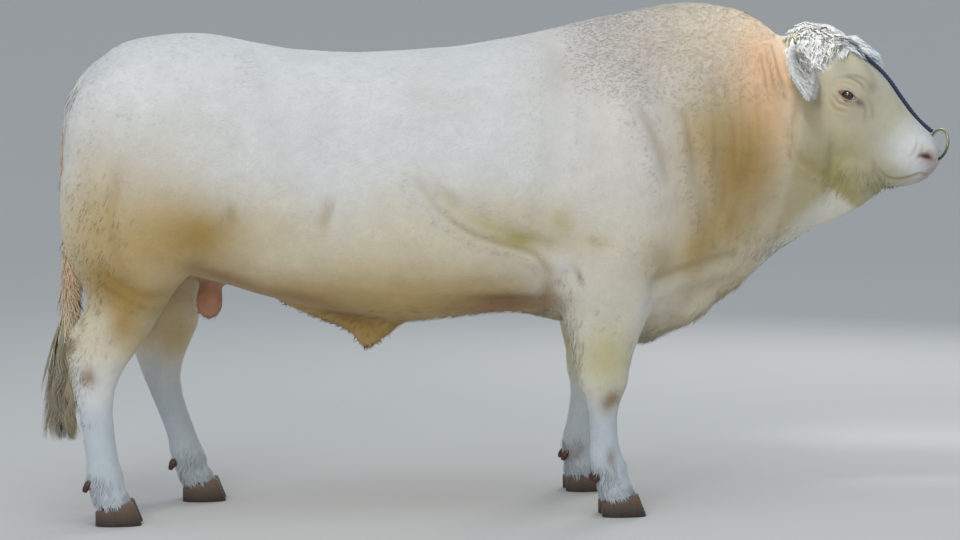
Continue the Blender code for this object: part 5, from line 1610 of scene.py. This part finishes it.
RING_RADIUS = 0.048
RING_WIRE = 0.0042
SEPTUM_AT = (0.555, 0.012, 0.0)
RING_AT = (0.530, 0.053, 0.0)
RING_TWIST = -0.79
RING_JOINT = 0.5
ROPE_RADIUS = 0.0068
ROPE_CLEARANCE = 0.0015
STRAND_RADIUS = 0.52 * ROPE_RADIUS
ROPE_LAY = 0.034
ROPE_ROUTE = (
    (0.060, 0.000), (0.110, 0.006), (0.180, 0.016), (0.260, 0.026), (0.340, 0.032),
    (0.420, 0.030), (0.484, 0.022),
)


def nose_ring():
    """A round ring of worn metal with a small screwed joint."""
    centre = from_head(RING_AT)
    up = unit(centre - from_head(SEPTUM_AT))
    sideways = flattened(HEAD_LEFT * math.cos(RING_TWIST) + HEAD_FORWARD * math.sin(RING_TWIST), up)
    axis = np.cross(up, sideways)
    rows = []
    for turn in full_turn(96):
        outward = up * math.cos(turn) + sideways * math.sin(turn)
        joint = 0.0006 * math.exp(-(((turn - RING_JOINT) / 0.05) ** 2))
        gap = 0.0007 * math.exp(-(((turn - RING_JOINT) / 0.012) ** 2))
        wire = RING_WIRE * 0.98 + joint - gap
        rows.append(round_section(centre + RING_RADIUS * outward, outward, axis, wire, wire))
    low, high = centre[2] - RING_RADIUS, centre[2] + RING_RADIUS
    look = height_material("ring_metal", low, high, METAL, 0.30, (1, 1, 1), 180.0, metallic=1.0)
    worn(shell("nose_ring_metal", rows, looped=True), look, "ring", "nose_ring")


def face_rope(head_node):
    """Three twisted strands from the ring up the nose into the forelock."""
    tree = tree_of(head_node)
    path = []
    for s, q in ROPE_ROUTE:
        hit, normal = met_from_above(tree, s, q)
        path.append(hit + normal * (ROPE_RADIUS + ROPE_CLEARANCE))
    path = smooth_path(path, 260)
    along = unit(np.gradient(path, axis=0))
    length = way_along(path)[-1]
    look = plain_material("rope_fibre", ROPE, 0.85, 500.0, 0.6, 0.8)
    side = unit(np.cross(along, HEAD_LEFT))
    up = np.cross(along, side)
    for strand in range(3):
        turn = np.linspace(0, 2 * math.pi * length / ROPE_LAY, len(path)) + strand * 2 * math.pi / 3
        wind = path + 0.5 * ROPE_RADIUS * (side * np.cos(turn)[:, None] + up * np.sin(turn)[:, None])
        rows = [round_section(*at, STRAND_RADIUS, STRAND_RADIUS, 10) for at in zip(wind, side, up)]
        piece = shell(f"rope_strand_{strand + 1}", rows)
        worn(piece, look, "rope", *(["face_rope"] if strand == 0 else []))


# Floor, light and camera

# Radius and height of the floor, from its middle to its edge
FLOOR_PROFILE = (
    (0.02, 0.0), (4.0, 0.0), (8.0, 0.0), (13.0, 0.0), (17.0, 0.4), (20.0, 1.6), (22.0, 5.0),
)
FLOOR_SIDES = 72

SKY_COLOUR = (0.86, 0.93, 1.0, 1)
SKY_STRENGTH = 0.50
BODY_MIDDLE = (0, 0, 0.9)

# Lamps: name, kind, settings, place, target, watts and colour. The one on the head stands for
# the sun that catches forelock and ears.
LAMPS = (
    ("top", "AREA", {"shape": "DISK", "size": 3.4},
     (-0.6, -1.6, 5.2), BODY_MIDDLE, 36, (0.84, 0.92, 1.0)),
    ("key", "AREA", {"shape": "DISK", "size": 2.8},
     (-2.6, -5.4, 3.2), BODY_MIDDLE, 93, (1.0, 0.97, 0.92)),
    ("head", "SPOT", {"spot_size": 0.36, "spot_blend": 1.0, "shadow_soft_size": 0.30},
     (0.15, -1.3, 3.4), POLL, 175, (1.0, 0.98, 0.94)),
    ("back", "AREA", {"shape": "DISK", "size": 2.4},
     (3.0, 4.6, 3.6), BODY_MIDDLE, 60, (1.0, 0.99, 0.97)),
)


def floor():
    """A pale floor whose far edge curves up, so that no horizon shows."""
    profile = smooth_path([(radius, 0.0, height) for radius, height in FLOOR_PROFILE], 40)
    rows = [
        round_section((0, 0, max(height, 0.0)), (1, 0, 0), (0, 1, 0), radius, radius, FLOOR_SIDES)
        for radius, _, height in profile
    ]
    grid = np.arange(len(rows) * FLOOR_SIDES).reshape(len(rows), -1)
    low, high = grid[:-1], grid[1:]
    faces = np.stack([low, high, np.roll(high, -1, axis=1), np.roll(low, -1, axis=1)], -1)
    stage = mesh_object("floor", np.vstack(rows), faces.reshape(-1, 4))
    middle = mesh_object("floor_middle", rows[0], [tuple(range(FLOOR_SIDES))])
    look = plain_material("floor", GROUND, 0.9, 30.0, 0.01, 0.02)
    for piece in (stage, middle):
        piece.data.materials.append(look)


def aimed(name, data, place, way):
    """An object at a place, turned to look along a way."""
    obj = add_object(name, data)
    obj.location = place
    obj.rotation_euler = way.to_track_quat("-Z", "Y").to_euler()
    return obj


def studio():
    world = bpy.data.worlds.new("studio")
    bpy.context.scene.world = world
    world.use_nodes = True
    sky = world.node_tree.nodes["Background"]
    sky.inputs["Color"].default_value = SKY_COLOUR
    sky.inputs["Strength"].default_value = SKY_STRENGTH
    for name, kind, settings, place, target, power, colour in LAMPS:
        light = bpy.data.lights.new(name, kind)
        for setting, value in {**settings, "energy": power, "color": colour}.items():
            setattr(light, setting, value)
        aimed(name, light, place, Vector(target) - Vector(place))
    bpy.context.scene.view_settings.view_transform = "Standard"


def camera():
    lens = bpy.data.cameras.new("camera")
    lens.lens = CAMERA_LENS
    lens.sensor_width = SENSOR_WIDTH
    forward = Vector((-math.sin(CAMERA_TURN), math.cos(CAMERA_TURN), 0))
    place = Vector((BARREL_X, 0, CAMERA_HEIGHT)) - forward * CAMERA_DISTANCE
    looking = forward * math.cos(CAMERA_DROP) - Vector((0, 0, math.sin(CAMERA_DROP)))
    bpy.context.scene.camera = aimed("camera", lens, place, looking)


def main():
    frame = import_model()
    nodes = frame["nodes"]
    skin = make_skin(nodes)
    shade = carve(skin)
    points, normals = points_of(skin), normals_of(skin)
    dressed(skin, coat_colour_and_painted_light(points, normals, shade), lie_of_coat(points, normals))
    fur = hair_material("skin_coat", 0.78, 0.30, 220.0)
    locks = hair_material("hair_coat", 0.72, 0.15, 420.0)
    worn(skin, fur, "cream_coat", *FLESH)

    field = Field(skin, shade)
    body_coat(field, locks)
    crest_curls(field, locks)
    fringes(field, locks)
    poll_tuft(field, locks)
    tail_switch(field, locks)
    wet = plain_material("lid_edge", LID_SKIN, 0.25, 200.0, 0.3, 0.1, coat_weight=0.5)
    for side in (-1, 1):
        ear(side, fur)
        ear_hair(side, field, locks)
        lids(eyeball(side), side, field, fur, wet)
    hooves(nodes)
    nose_ring()
    face_rope(nodes["head"])
    tag = nodes["ear_tag"].data.materials
    tag.clear()
    tag.append(plain_material("tag_plastic", TAG, 0.38, 90.0, 0.06))

    floor()
    studio()
    camera()


main()
